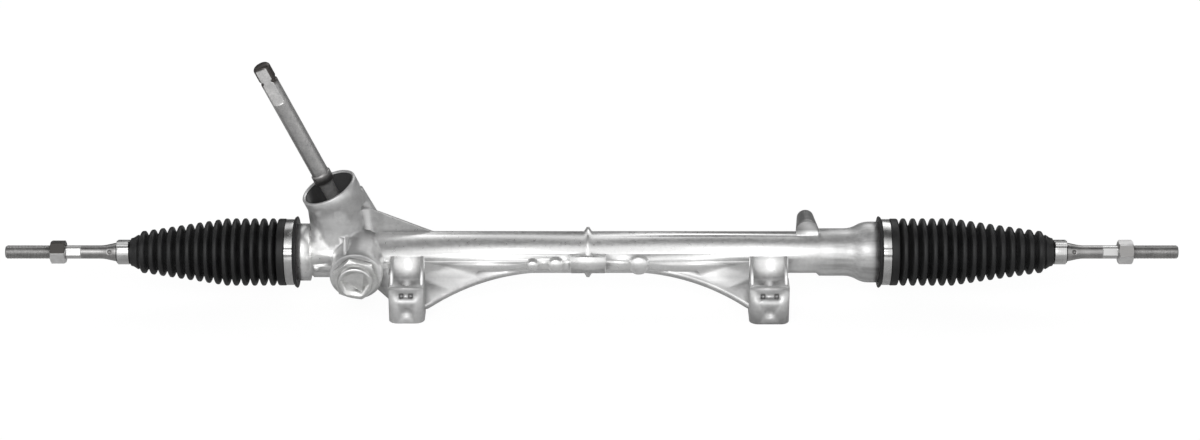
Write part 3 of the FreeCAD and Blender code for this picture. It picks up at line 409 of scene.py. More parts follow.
def shaft_steel():
    """Dull turned steel with a ground flat, a dark oxide tip and a dark collar down in the cup. Painted
    shade darkens it towards its foot, painted light lightens the neck in the cup, and the flat is painted
    lighter, partly as ground steel and partly as painted highlight.
    """
    material, tree = blank("shaft_steel")
    where = place(tree)

    def distance_along(line):
        """Every point's distance along a line, as a socket, and that of the shaft's foot."""
        node = add(tree, "ShaderNodeVectorMath", operation="DOT_PRODUCT", Vector=where)
        node.inputs[1].default_value = line
        return node.outputs["Value"], pinion_point.dot(line)

    along, foot = distance_along(pinion_line)
    across, middle = distance_along(flat_side)

    def on_shaft(low, high, to_low, to_high):
        """A value that changes between two places along the shaft."""
        return spread(along, foot + low, foot + high, to_low, to_high)

    strip = spread(across, middle + 0.0066, middle + 0.0071, 0.0, 1.0)
    above_neck = on_shaft(0.081, 0.085, 0.0, 1.0)
    collar = on_shaft(0.092, 0.100, 0.60, 0.0)
    # Painted shade: the colour grows darker towards the shaft's foot
    painted_shade_along_shaft = on_shaft(0.100, 0.165, 0.78, 0.86)
    # The flat painted lighter, partly as ground steel and partly as painted highlight
    ground = on_shaft(flat_start + 0.0008, flat_start + 0.0012, 0.0, 0.62)
    cap = on_shaft(0.207, groove_start, 0.0, 1.0)
    end = on_shaft(0.2275, 0.2290, 0.0, 1.0)
    # Painted light: the neck down in the cup is made lighter in colour, and less metallic further below
    painted_light_neck = spread(above_neck, 0.0, 1.0, 0.1, 0.0)
    sides = times(cap, sum_of("SUBTRACT", 1.0, strip))
    oxidised = most(sides, end, times(collar, above_neck))
    level = sum_of("ADD", sum_of("ADD", painted_shade_along_shaft, times(strip, ground)), painted_light_neck)

    stains = noise(where, 120, 6, 0.7)
    pits = noise(where, 520, 4, 0.6)
    metal = ramp(stains, [(0.34, grey(0.50)), (0.52, (0.60, 0.595, 0.59)), (0.70, (0.69, 0.685, 0.68))])
    speckle = ramp(pits, [(0.36, grey(0.74)), (0.58, grey(1.0))])
    shaded = add(tree, "ShaderNodeVectorMath", operation="SCALE", Vector=metal, Scale=level)
    oxide = mixed(oxidised, shaded, (0.10, 0.092, 0.088))
    bevel = add(tree, "ShaderNodeBevel", samples=4, Radius=0.0004)
    coat(tree,
         Base_Color=mixed(0.6, oxide, speckle, "MULTIPLY"),
         Metallic=spread(above_neck, 0.0, 1.0, 0.35, 0.92),
         Roughness=spread(stains, 0.3, 0.7, 0.46, 0.36),
         Normal=bump(pits, 0.3, 0.00012, Normal=bevel))
    return material


def rubber(name, colour, rough):
    """Rubber with lighter clouds and a fine grain."""
    material, tree = blank(name)
    where = place(tree)
    cloud = noise(where, 70, 5, 0.6)
    coat(tree,
         Base_Color=ramp(cloud, [(0.35, colour), (0.72, toned(colour, 1.9))]),
         Roughness=spread(cloud, 0.3, 0.7, rough - 0.05, rough + 0.10),
         Specular_IOR_Level=0.38,
         Normal=bump(noise(where, 1400, 3, 0.55), 0.3, 0.00010))
    return material


def moulded(name, colour, rough):
    """Moulded plastic, nearly even in colour."""
    material, tree = blank(name)
    where = place(tree)
    cloud = noise(where, 45, 4, 0.55)
    coat(tree,
         Base_Color=ramp(cloud, [(0.35, toned(colour, 0.93)), (0.7, colour)]),
         Roughness=spread(cloud, 0.3, 0.7, rough - 0.04, rough + 0.08),
         Normal=bump(noise(where, 1800, 2, 0.5), 0.2, 0.00006))
    return material


def marked(tree, share, colour):
    """Mixes a second colour into a finished metal by a share."""
    first = tree.nodes["Principled BSDF"].inputs["Base Color"].links[0].from_node
    coat(tree, Base_Color=mixed(share, first, colour))


# Ring scale, darkness of the stains, edge radius and dirt of a plated nut
plating = ((220, 1500, 220), 0.86, 0.0005, 0.14)


def nut_steel():
    """Dull steel of the rods' lock nuts, with painted shade on the upper faces of each."""
    material = turned_metal("nut_steel", (0.84, 0.835, 0.83), 0.40, *plating)
    tree = material.node_tree
    split = split_place(tree)
    beyond = 0.4
    left_shade_bottom, right_shade_bottom, right_shade_top = rack_line.z + 0.0035, rack_line.z, rack_line.z + 0.0104
    # Painted shade on the upper faces of the left nut, and at 0.7 on the right nut
    left = times(zone(split, "X", None, -beyond), zone(split, "Z", left_shade_bottom, None, 0.0006))
    right = times(zone(split, "X", beyond, None), zone(split, "Z", right_shade_bottom, right_shade_top, 0.0005))
    marked(tree, most(left, times(right, 0.70)), (0.10, 0.095, 0.09))
    return material


def rod_steel(colour):
    """Drawn steel of the tie rods, painted lighter along the spanner flats, partly as ground steel and
    partly as painted highlight.
    """
    material = turned_metal("rod_steel", colour, 0.32, (1900, 50, 50), 0.74)
    tree = material.node_tree
    split = split_place(tree)
    left, right = ball_centres["left"].x, ball_centres["right"].x
    # Lighter colour along the spanner flats: partly ground steel, partly painted highlight
    ground = most(zone(split, "X", left - flats_end, left - flats_start, 0.0005),
                  zone(split, "X", right + flats_start, right + flats_end, 0.0005))
    marked(tree, ground, (0.56, 0.56, 0.555))
    return material


finishes = {}


def make_finishes(scene):
    """Every material, by the record's slot name. The rods' nuts have one of their own, nut_steel."""
    sleeves, rods = scene.rack_bellows_sizes, scene.rack_rod_sizes
    finishes["cast_aluminium"] = cast_aluminium(scene.rack_housing_sizes)
    finishes["shaft_steel"] = shaft_steel()
    finishes["nut_steel"] = nut_steel()
    finishes["rod_steel"] = rod_steel(tuple(rods.colour))
    finishes["white_plastic"] = moulded("white_plastic", (0.80, 0.80, 0.76), 0.42)
    # Colour and roughness, then as far as they differ: ring scale, darkness of the stains, edge and dirt
    metals = {
        "guide_aluminium": ((0.90, 0.905, 0.91), 0.42, (500, 1200, 500), 0.86, 0.0003, 0.10),
        "ground_steel": ((0.66, 0.67, 0.69), 0.16, (3000, 40, 40), 0.85),
        "bearing_steel": ((0.70, 0.71, 0.73), 0.18, grey(900)),
        "spring_steel": ((0.26, 0.26, 0.28), 0.34, grey(800)),
        "plated_steel": ((0.84, 0.84, 0.83), 0.34, *plating),
        "socket_steel": ((0.50, 0.50, 0.51), 0.30),
        "clamp_steel": (tuple(rods.band_colour), 0.22, (3200, 30, 30), 0.82),
        "bronze_sheet": ((0.60, 0.45, 0.25), 0.30, grey(700)),
    }
    for name, look in metals.items():
        finishes[name] = turned_metal(name, *look)
    rubbers = {
        "bellows_rubber": (tuple(sleeves.colour), 0.46),
        "black_rubber": (grey(0.024), 0.40),
        "seal_rubber": (grey(0.02), 0.5),
        "stop_rubber": (grey(0.05), 0.6),
    }
    for name, (colour, rough) in rubbers.items():
        finishes[name] = rubber(name, colour, rough)


# Shapes

@contextmanager
def edited(mesh):
    """A mesh opened as a bmesh, and written back afterwards."""
    shape = bmesh.new()
    shape.from_mesh(mesh)
    yield shape
    shape.to_mesh(mesh)
    shape.free()


def smooth(mesh, angle):
    """Smooth faces, with sharp edges where the faces turn by more than an angle in degrees."""
    mesh.polygons.foreach_set("use_smooth", [True] * len(mesh.polygons))
    mesh.set_sharp_from_angle(angle=math.radians(angle))
    mesh.update()


def new_piece(name, mesh, slot, body=None):
    """A shown object with its finish, riding on a body."""
    piece = bpy.data.objects.new(name, mesh)
    bpy.context.scene.collection.objects.link(piece)
    mesh.materials.clear()
    mesh.materials.append(finishes[slot])
    if body:
        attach(piece, body)
    return piece


def dress(node, piece_name, angle):
    """Shows a CAD node as a smooth copy of itself, with its own finish."""
    mesh = frame["nodes"][node].data.copy()
    mesh.name = node + "_skin"
    with edited(mesh) as shape:
        bmesh.ops.remove_doubles(shape, verts=shape.verts, dist=2e-6)
    smooth(mesh, angle)
    piece = new_piece(piece_name, mesh, slot_of[node], frame["nodes"][node]["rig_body"])
    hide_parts(node)
    return piece


def turned_shape(shape, profile, centre, direction):
    """Adds a surface of revolution along X to a bmesh, from (distance, radius) points."""
    rows = []
    for distance, radius in profile:
        x = centre.x + direction * distance
        if radius < 1e-7:
            rows.append([shape.verts.new((x, centre.y, centre.z))])
            continue
        row = []
        for k in range(steps_around):
            turn = 2 * math.pi * k / steps_around
            y, z = centre.y + radius * math.cos(turn), centre.z + radius * math.sin(turn)
            row.append(shape.verts.new((x, y, z)))
        rows.append(row)
    for low, high in zip(rows, rows[1:]):
        for k in range(steps_around):
            n = (k + 1) % steps_around
            corners = [low[k % len(low)], high[k % len(high)], high[n % len(high)], low[n % len(low)]]
            unique = list(dict.fromkeys(corners))
            if len(unique) > 2:
                shape.faces.new(unique)


def rounded(corners):
    """A profile whose inner corners carry a fillet: each corner is (distance, radius, fillet)."""
    steps = 4
    points = []
    for k, corner in enumerate(corners):
        here = Vector(corner[:2])
        fillet = corner[2] if len(corner) > 2 else 0
        if not fillet or k in (0, len(corners) - 1):
            points.append(tuple(here))
            continue
        before, after = Vector(corners[k - 1][:2]) - here, Vector(corners[k + 1][:2]) - here
        reach = min(fillet, before.length * 0.49, after.length * 0.49)
        first, last = here + before.normalized() * reach, here + after.normalized() * reach
        for j in range(steps + 1):
            t = j / steps
            points.append(tuple(first * (1 - t) ** 2 + here * 2 * t * (1 - t) + last * t * t))
    return points


def finer(profile, start, step):
    """The profile with more points beyond a distance, none further apart than the step."""
    points = []
    for low, high in zip(profile, profile[1:]):
        parts = max(1, math.ceil((high[0] - low[0]) / step)) if low[0] >= start else 1
        for k in range(parts):
            share = k / parts
            points.append((low[0] + (high[0] - low[0]) * share, low[1] + (high[1] - low[1]) * share))
    return points + [profile[-1]]


# Geometry Nodes trees

def tree_with(name, **inputs):
    """An empty tree, its inputs' sockets and its output. The inputs' names are given by kind."""
    tree = bpy.data.node_groups.new(name, "GeometryNodeTree")
    for kind, labels in inputs.items():
        for label in labels:
            tree.interface.new_socket(label, in_out="INPUT", socket_type="NodeSocket" + kind)
    tree.interface.new_socket("Geometry", in_out="OUTPUT", socket_type="NodeSocketGeometry")
    return tree, tree.nodes.new("NodeGroupInput").outputs, tree.nodes.new("NodeGroupOutput")


def close_tree(tree, geometry, material, output):
    """Ends a tree with real geometry that has its material."""
    real = add(tree, "GeometryNodeRealizeInstances", Geometry=geometry)
    feed(output.inputs[0], add(tree, "GeometryNodeSetMaterial", Geometry=real, Material=material))


def grid_of(tree, rows, around):
    """A flat unit grid and its two coordinates, the first from 0 to 1 and the second a full turn."""
    grid = add(tree, "GeometryNodeMeshGrid", Size_X=1, Size_Y=1, Vertices_X=rows, Vertices_Y=around)
    split = add(tree, "ShaderNodeSeparateXYZ", Vector=add(tree, "GeometryNodeInputPosition"))
    along = sum_of("ADD", split.outputs["X"], 0.5)
    turn = times(sum_of("ADD", split.outputs["Y"], 0.5), 2 * math.pi)
    return grid, along, turn


def wrap(tree, grid, x, radius, turn, material, output):
    """Rolls the grid into a tube about the rack's line and closes its seam."""
    y = sum_of("MULTIPLY_ADD", radius, sum_of("COSINE", turn), rack_line.y)
    z = sum_of("MULTIPLY_ADD", radius, sum_of("SINE", turn), rack_line.z)
    point = add(tree, "ShaderNodeCombineXYZ", X=x, Y=y, Z=z)
    move = add(tree, "GeometryNodeSetPosition", Geometry=grid, Position=point)
    closed = add(tree, "GeometryNodeMergeByDistance", Geometry=move, Distance=1e-6)
    close_tree(tree, add(tree, "GeometryNodeSetShadeSmooth", Geometry=closed), material, output)


def folds_tree():
    """Folds of a bellows, from one fold to another, with crests that shrink towards the rod."""
    tree, g, output = tree_with(
        "bellows_folds",
        Float=("Start", "Fold Pitch", "First Fold", "Last Fold", "Folds", "Full Folds", "Crest Radius",
               "Small Crest Radius", "Depth", "Roundness"),
        Int=("Rows", "Around"), Material=("Material",))
    grid, along, turn = grid_of(tree, g["Rows"], g["Around"])
    span = sum_of("SUBTRACT", g["Last Fold"], g["First Fold"])
    fold = sum_of("MULTIPLY_ADD", along, span, g["First Fold"])
    x = sum_of("MULTIPLY_ADD", fold, g["Fold Pitch"], g["Start"])
    to_small = sum_of("SUBTRACT", sum_of("SUBTRACT", g["Folds"], 0.5), fold)
    tapered = sum_of("SUBTRACT", g["Folds"], g["Full Folds"])
    share = sum_of("DIVIDE", to_small, tapered, clamp=True)
    rise = sum_of("SUBTRACT", g["Crest Radius"], g["Small Crest Radius"])
    crest = sum_of("MULTIPLY_ADD", share, rise, g["Small Crest Radius"])
    wave = sum_of("COSINE", times(fold, 2 * math.pi))
    valley = sum_of("POWER", sum_of("MULTIPLY_ADD", wave, 0.5, 0.5, clamp=True), g["Roundness"])
    share_in = times(valley, sum_of("DIVIDE", g["Depth"], g["Crest Radius"]))
    radius = times(crest, sum_of("SUBTRACT", 1.0, share_in))
    wrap(tree, grid, x, radius, turn, g["Material"], output)
    return tree


def thread_tree():
    """A rolled thread as one continuous surface, fading out at its start and chamfered at its tip."""
    crest_flat, flank_slope = 0.07, 2.9
    tree, g, output = tree_with(
        "rolled_thread",
        Float=("Start", "Length", "Pitch", "Crest", "Root", "Runout", "Tip Chamfer"),
        Int=("Rows", "Around"), Material=("Material",))
    grid, along, turn = grid_of(tree, g["Rows"], g["Around"])
    x = sum_of("MULTIPLY_ADD", along, g["Length"], g["Start"])
    length = sum_of("ABSOLUTE", g["Length"])
    inside = times(along, length)
    turns = sum_of("SUBTRACT", sum_of("DIVIDE", inside, g["Pitch"]),
                   sum_of("DIVIDE", turn, 2 * math.pi))
    saw = sum_of("PINGPONG", turns, 0.5)
    flank = sum_of("MULTIPLY", sum_of("SUBTRACT", saw, crest_flat), flank_slope, clamp=True)
    fade = sum_of("DIVIDE", inside, g["Runout"], clamp=True)
    cut = times(sum_of("SUBTRACT", 1, flank), fade)
    height = sum_of("SUBTRACT", g["Crest"], g["Root"])
    full = sum_of("SUBTRACT", g["Crest"], times(cut, height))
    from_tip = sum_of("SUBTRACT", length, inside)
    tip = sum_of("ADD", sum_of("SUBTRACT", g["Crest"], g["Tip Chamfer"]), from_tip)
    wrap(tree, grid, x, sum_of("MINIMUM", full, tip), turn, g["Material"], output)
    return tree


def band_tree():
    """A clamp band: a flat strip with rounded edges, swept along a closed path."""
    edge_share = 0.35
    tree, g, output = tree_with(
        "clamp_band", Geometry=("Path",), Float=("Width", "Thickness"), Material=("Material",))
    curve = add(tree, "GeometryNodeMeshToCurve", Mesh=g["Path"])
    level = add(tree, "GeometryNodeSetCurveNormal", mode="MINIMUM_TWIST", Curve=curve)
    strip = add(tree, "GeometryNodeCurvePrimitiveQuadrilateral", Width=g["Width"], Height=g["Thickness"])
    edges = add(tree, "GeometryNodeFilletCurve", mode="POLY", Count=3, Curve=strip,
                Radius=times(g["Thickness"], edge_share))
    sweep = add(tree, "GeometryNodeCurveToMesh", Curve=level, Profile_Curve=edges)
    close_tree(tree, sweep, g["Material"], output)
    return tree


def run_tree(tree, values, mesh=None):
    """The mesh that a tree makes from the given input values."""
    carrier = bpy.data.objects.new("carrier", mesh or bpy.data.meshes.new("carrier"))
    bpy.context.scene.collection.objects.link(carrier)
    modifier = carrier.modifiers.new("nodes", "NODES")
    modifier.node_group = tree
    for item in tree.interface.items_tree:
        if item.in_out == "INPUT" and item.name in values:
            modifier[item.identifier] = values[item.name]
    bpy.context.view_layer.update()
    made = bpy.data.meshes.new_from_object(carrier.evaluated_get(bpy.context.evaluated_depsgraph_get()))
    bpy.data.objects.remove(carrier)
    return made


# Bellows

def bellows_places(side, sizes):
    """Distances from the middle of the housing at which a bellows starts, seats, folds and ends."""
    low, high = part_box(side + "_bellows")
    lip, end = sorted((abs(low.x), abs(high.x)))
    seat = lip + sizes.lip_width
    block = seat + sizes.seat_width
    folds = block + sizes.block_width
    cuff = end - sizes.cuff_width
    shoulder = cuff - sizes.neck_width
    return {"lip": lip, "seat": seat, "block": block, "folds": folds, "shoulder": shoulder,
            "cuff": cuff, "end": end, "pitch": (shoulder - folds) / sizes.folds}


def bellows_part(side, name, tree, sizes, first, last, cuffs):
    """One stretch of a bellows, as a closed rubber wall."""
    rows_per_fold = 12
    places = bellows_places(side, sizes)
    way = outward[side]
    made = run_tree(tree, {
        "Start": way * places["folds"], "Fold Pitch": way * places["pitch"],
        "First Fold": float(first), "Last Fold": float(last), "Folds": float(sizes.folds),
        "Full Folds": float(sizes.full_folds), "Crest Radius": sizes.crest,
        "Small Crest Radius": sizes.small_crest, "Depth": sizes.depth, "Roundness": sizes.roundness,
        "Rows": int((last - first) * rows_per_fold) + 1, "Around": steps_around + 1,
        "Material": finishes["bellows_rubber"],
    })
    with edited(made) as shape:
        for profile in cuffs:
            turned_shape(shape, profile, rack_line, way)
        bmesh.ops.remove_doubles(shape, verts=shape.verts, dist=2e-5)
        bmesh.ops.recalc_face_normals(shape, faces=shape.faces)
        facing = 0
        for face in shape.faces:
            from_line = face.calc_center_median() - rack_line
            facing += from_line.y * face.normal.y + from_line.z * face.normal.z
        if facing < 0:
            bmesh.ops.reverse_faces(shape, faces=shape.faces)
    piece = new_piece(side + "_bellows_" + name, made, "bellows_rubber")
    wall = piece.modifiers.new("wall", "SOLIDIFY")
    wall.thickness = sizes.wall
    wall.offset = -1
    bpy.context.view_layer.update()
    walled = bpy.data.meshes.new_from_object(piece.evaluated_get(bpy.context.evaluated_depsgraph_get()))
    piece.modifiers.clear()
    piece.data = walled
    walled.materials.clear()
    walled.materials.append(finishes["bellows_rubber"])
    smooth(walled, 50)
    return piece


class RACK_OT_bellows(bpy.types.Operator):
    """Make both bellows, each in three stretches that meet at the sliding and the bending folds"""

    bl_idname = "rack.bellows"
    bl_label = "Bellows"

    def execute(self, context):
        sizes = context.scene.rack_bellows_sizes
        tree = folds_tree()
        for side, way in outward.items():
            p = bellows_places(side, sizes)
            big_end = rounded([
                (p["lip"], sizes.seat - 0.0036), (p["lip"], sizes.lip - 0.0006, 0.0006),
                (p["lip"] + 0.0008, sizes.lip, 0.0006), (p["seat"], sizes.lip - 0.0016, 0.0008),
                (p["seat"], sizes.seat, 0.0006), (p["block"], sizes.seat, 0.0006),
                (p["block"], sizes.block, 0.0012), (p["folds"] - 0.0012, sizes.block, 0.0018),
                (p["folds"], sizes.crest - sizes.depth),
            ])
            neck = sizes.small_crest * (1 - sizes.depth / sizes.crest)
            small_end = rounded([
                (p["shoulder"], neck), (p["shoulder"] + 0.0012, neck + 0.0010, 0.001),
                (p["cuff"] - 0.0030, 0.0150, 0.0020), (p["cuff"] - 0.0003, 0.0145, 0.0010),
                (p["cuff"], sizes.cuff, 0.0006), (p["end"], sizes.cuff - 0.0001),
            ])
            slid, bent = sizes.slide_folds, sizes.bend_folds
            inner = bellows_part(side, "inner", tree, sizes, 0, slid, [big_end])
            middle = bellows_part(side, "middle", tree, sizes, slid, bent, [])
            outer = bellows_part(side, "outer", tree, sizes, bent, sizes.folds, [small_end])

            def at(fold):
                return (way * (p["folds"] + fold * p["pitch"]), rack_line.y, rack_line.z)

            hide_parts(side + "_bellows")
            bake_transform(inner)
            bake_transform(middle)
            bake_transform(outer)
        return {"FINISHED"}


# Clamps

# The ear's outline: share of its height, and share of its half width from its middle
ear_outline = ((0.10, -1.25), (0.55, -1.05), (0.86, -0.98), (1.0, -0.75), (0.90, -0.35), (0.78, 0.0),
               (0.90, 0.35), (1.0, 0.75), (0.86, 0.98), (0.55, 1.05), (0.10, 1.25))


def band_path(x, radius, ear_at, ear_height, ear_width):
    """A circle about the rack's line with one raised ear, as a ring of edges."""
    steps = 120
    half = ear_width / 2 / radius
    gap = half * 1.5
    points = [(radius, ear_at + gap + (2 * math.pi - 2 * gap) * k / (steps - 1)) for k in range(steps)]
    points += [(radius + ear_height * share, ear_at + half * across) for share, across in ear_outline]
    corners = [(x, rack_line.y + r * math.cos(t), rack_line.z + r * math.sin(t)) for r, t in points]
    mesh = bpy.data.meshes.new("band_path")
    mesh.from_pydata(corners, [(k, (k + 1) % len(corners)) for k in range(len(corners))], [])
    return mesh


def add_band(name, tree, body, node, radius, width, thickness, **ear):
    """One clamp band, in the place of its CAD node."""
    low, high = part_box(node)
    path = band_path((low.x + high.x) / 2, radius + thickness / 2, **ear)
    values = {"Width": width, "Thickness": thickness, "Material": finishes["clamp_steel"]}
    made = run_tree(tree, values, path)
    with edited(made) as shape:
        bmesh.ops.recalc_face_normals(shape, faces=shape.faces)
    smooth(made, 40)
    piece = new_piece(name, made, "clamp_steel", body)
    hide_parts(node)


class RACK_OT_clamps(bpy.types.Operator):
    """Make the clamp bands at both ends of each bellows"""

    bl_idname = "rack.clamps"
    bl_label = "Clamps"

    def execute(self, context):
        tree = band_tree()
        bellows = context.scene.rack_bellows_sizes
        for side in outward:
            add_band(side + "_big_band", tree, "housing", side + "_bellows_big_clamp",
                     radius=bellows.seat + 0.0001, width=0.0086, thickness=0.0010,
                     ear_at=math.radians(156), ear_height=0.0018, ear_width=0.0060)
            add_band(side + "_small_band", tree, side + "_tie_rod", side + "_bellows_small_clamp",
                     radius=bellows.cuff + 0.0002, width=0.0122, thickness=0.0011,
                     ear_at=math.radians(120), ear_height=0.0036, ear_width=0.0050)
        return {"FINISHED"}


# Tie rods

class RACK_OT_rods(bpy.types.Operator):
    """Make the tie rods with their balls, swaged ends and rolled threads"""

    bl_idname = "rack.rods"
    bl_label = "Tie rods"

    def execute(self, context):
        sizes = context.scene.rack_rod_sizes
        tree = thread_tree()
        for side, way in outward.items():
            centre = ball_centres[side]
            low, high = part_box(side + "_tie_rod")
            reach = (high.x - centre.x) if way > 0 else (centre.x - low.x)
            thread_start = reach - sizes.thread_length
            rod = bpy.data.meshes.new(side + "_rod")
            with edited(rod) as shape:
                turned_shape(shape, self.profile(thread_start), centre, way)
                bmesh.ops.remove_doubles(shape, verts=shape.verts, dist=1e-6)
                self.stake(shape, centre.x + way * stake_place)
                self.flats(shape, centre.x + way * flats_start, centre.x + way * flats_end)
                turned_shape(shape, [(reach, sizes.root - 0.0006), (reach, 0.0)], centre, way)
                bmesh.ops.recalc_face_normals(shape, faces=shape.faces)
            thread = self.thread(tree, sizes, centre.x + way * thread_start, way, reach - thread_start)
            with edited(rod) as shape:
                shape.from_mesh(thread)
                bmesh.ops.recalc_face_normals(shape, faces=shape.faces)
            smooth(rod, 40)
            piece = new_piece(side + "_rod", rod, "rod_steel", side + "_tie_rod")
            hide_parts(side + "_tie_rod")
            nut = dress(side + "_tie_rod_lock_nut", side + "_rod_nut", 25)
            nut.data.materials[0] = finishes["nut_steel"]
            if side == "left":
                turn = Matrix.Rotation(math.radians(-14), 4, "X")
                nut.data.transform(Matrix.Translation(rack_line) @ turn @ Matrix.Translation(-rack_line))
        return {"FINISHED"}

    def profile(self, thread_start):
        """The ball, the plain rod and its swaged end, up to the thread."""
        ball = [(-ball_radius * math.cos(k * 0.11), ball_radius * math.sin(k * 0.11)) for k in range(25)]
        return ball + finer(rounded([
            (0.0122, 0.0060), (0.0150, 0.0060, 0.002), (0.0240, 0.0096, 0.002), (0.0830, 0.0096, 0.0004),
            (0.0830, 0.0088, 0.0004), (0.0975, 0.0088, 0.0004), (0.0975, 0.0096, 0.0006),
            (0.0990, 0.0096, 0.003), (0.1115, 0.0069, 0.004), (thread_start, 0.0069),
        ]), 0.0975, 0.0007)

    def thread(self, tree, sizes, start, way, length):
        """The rolled thread's surface."""
        rows_per_turn, points_around = 10, 49
        return run_tree(tree, {
            "Start": start, "Length": way * length, "Pitch": sizes.pitch, "Crest": sizes.crest,
            "Root": sizes.root, "Runout": 0.004, "Tip Chamfer": 0.0014,
            "Rows": int(length / sizes.pitch * rows_per_turn) + 1, "Around": points_around,
            "Material": finishes["rod_steel"],
        })

    def stake(self, shape, x):
        """The punched dimple in the swaged end, on the side that faces the camera."""
        height, width, depth = 0.0082, 0.0030, 0.0026
        middle = rack_line + to_front * height
        middle.x = x
        for point in shape.verts:
            share = (point.co - middle).length / width
            if share < 1:
                point.co -= to_front * depth * (1 - share**2)**2

    def flats(self, shape, first, last):
        """Two spanner flats beside the lock nut."""
        height = 0.0058
        for point in shape.verts:
            if not min(first, last) < point.co.x < max(first, last):
                continue
            out = (point.co - rack_line).dot(to_front)
            if abs(out) > height:
                point.co += to_front * (math.copysign(height, out) - out)


# Housing, shaft and adjuster

class RACK_OT_housing(bpy.types.Operator):
    """Show the cast housing with its grain and tarnish"""

    bl_idname = "rack.housing"
    bl_label = "Housing"

    def execute(self, context):
        dress("rack_housing", "housing_casting", 38)
        return {"FINISHED"}


class RACK_OT_pinion(bpy.types.Operator):
    """Show the pinion shaft and the cover in the cup"""

    bl_idname = "rack.pinion"
    bl_label = "Pinion shaft"

    def execute(self, context):
        shaft = dress("pinion_shaft", "pinion_steel", 30)
        self.upper_end(shaft.data)
        dress("pinion_dust_cover", "cup_cover", 40)
        return {"FINISHED"}

    def upper_end(self, mesh):
        """Redraws the shaft above its sleeve, with its flat ground up to the tip, across the groove."""
        outline = rounded([
            (0.0925, 0.0102), (0.0935, 0.0103), (0.0950, shaft_radius, 0.0006),
            (flat_start - 0.003, shaft_radius), (groove_start, shaft_radius, 0.0005),
            (groove_start + 0.001, 0.0080, 0.0004), (groove_end - 0.001, 0.0080, 0.0004),
            (groove_end, shaft_radius, 0.0005), (0.2280, shaft_radius, 0.0010), (0.2300, 0.0074, 0.0008),
            (0.2310, 0.0050), (0.2310, 0.0),
        ])
        added = bpy.data.meshes.new("upper_shaft")
        with edited(added) as shape:
            turned_shape(shape, finer(outline, flat_start - 0.0035, 0.0006), Vector(), 1)
            for point in shape.verts:
                if point.co.x > flat_start:
                    point.co.z = min(point.co.z, flat_height)
            bmesh.ops.recalc_face_normals(shape, faces=shape.faces)
            turn = Matrix((pinion_line, flat_side.cross(pinion_line), flat_side)).transposed().to_4x4()
            bmesh.ops.transform(shape, matrix=Matrix.Translation(pinion_point) @ turn, verts=shape.verts)
        with edited(mesh) as shape:
            above = [point for point in shape.verts
                     if (point.co - pinion_point).dot(pinion_line) > sleeve_top]
            bmesh.ops.delete(shape, geom=above, context="VERTS")
            shape.from_mesh(added)
        smooth(mesh, 30)


class RACK_OT_adjuster(bpy.types.Operator):
    """Show the adjuster plug and its lock nut"""

    bl_idname = "rack.adjuster"
    bl_label = "Adjuster"

    def execute(self, context):
        dress("adjuster_plug", "guide_plug", 30)
        dress("adjuster_lock_nut", "guide_nut", 25)
        return {"FINISHED"}


class RACK_OT_inner(bpy.types.Operator):
    """Give every remaining CAD node its finish"""

    bl_idname = "rack.inner"
    bl_label = "Inner pieces"

    def execute(self, context):
        for name, node in frame["nodes"].items():
            finish = finishes[slot_of[name]]
            if not node.material_slots:
                node.data.materials.append(finish)
            for entry in node.material_slots:
                entry.material = finish
        return {"FINISHED"}


# Stage

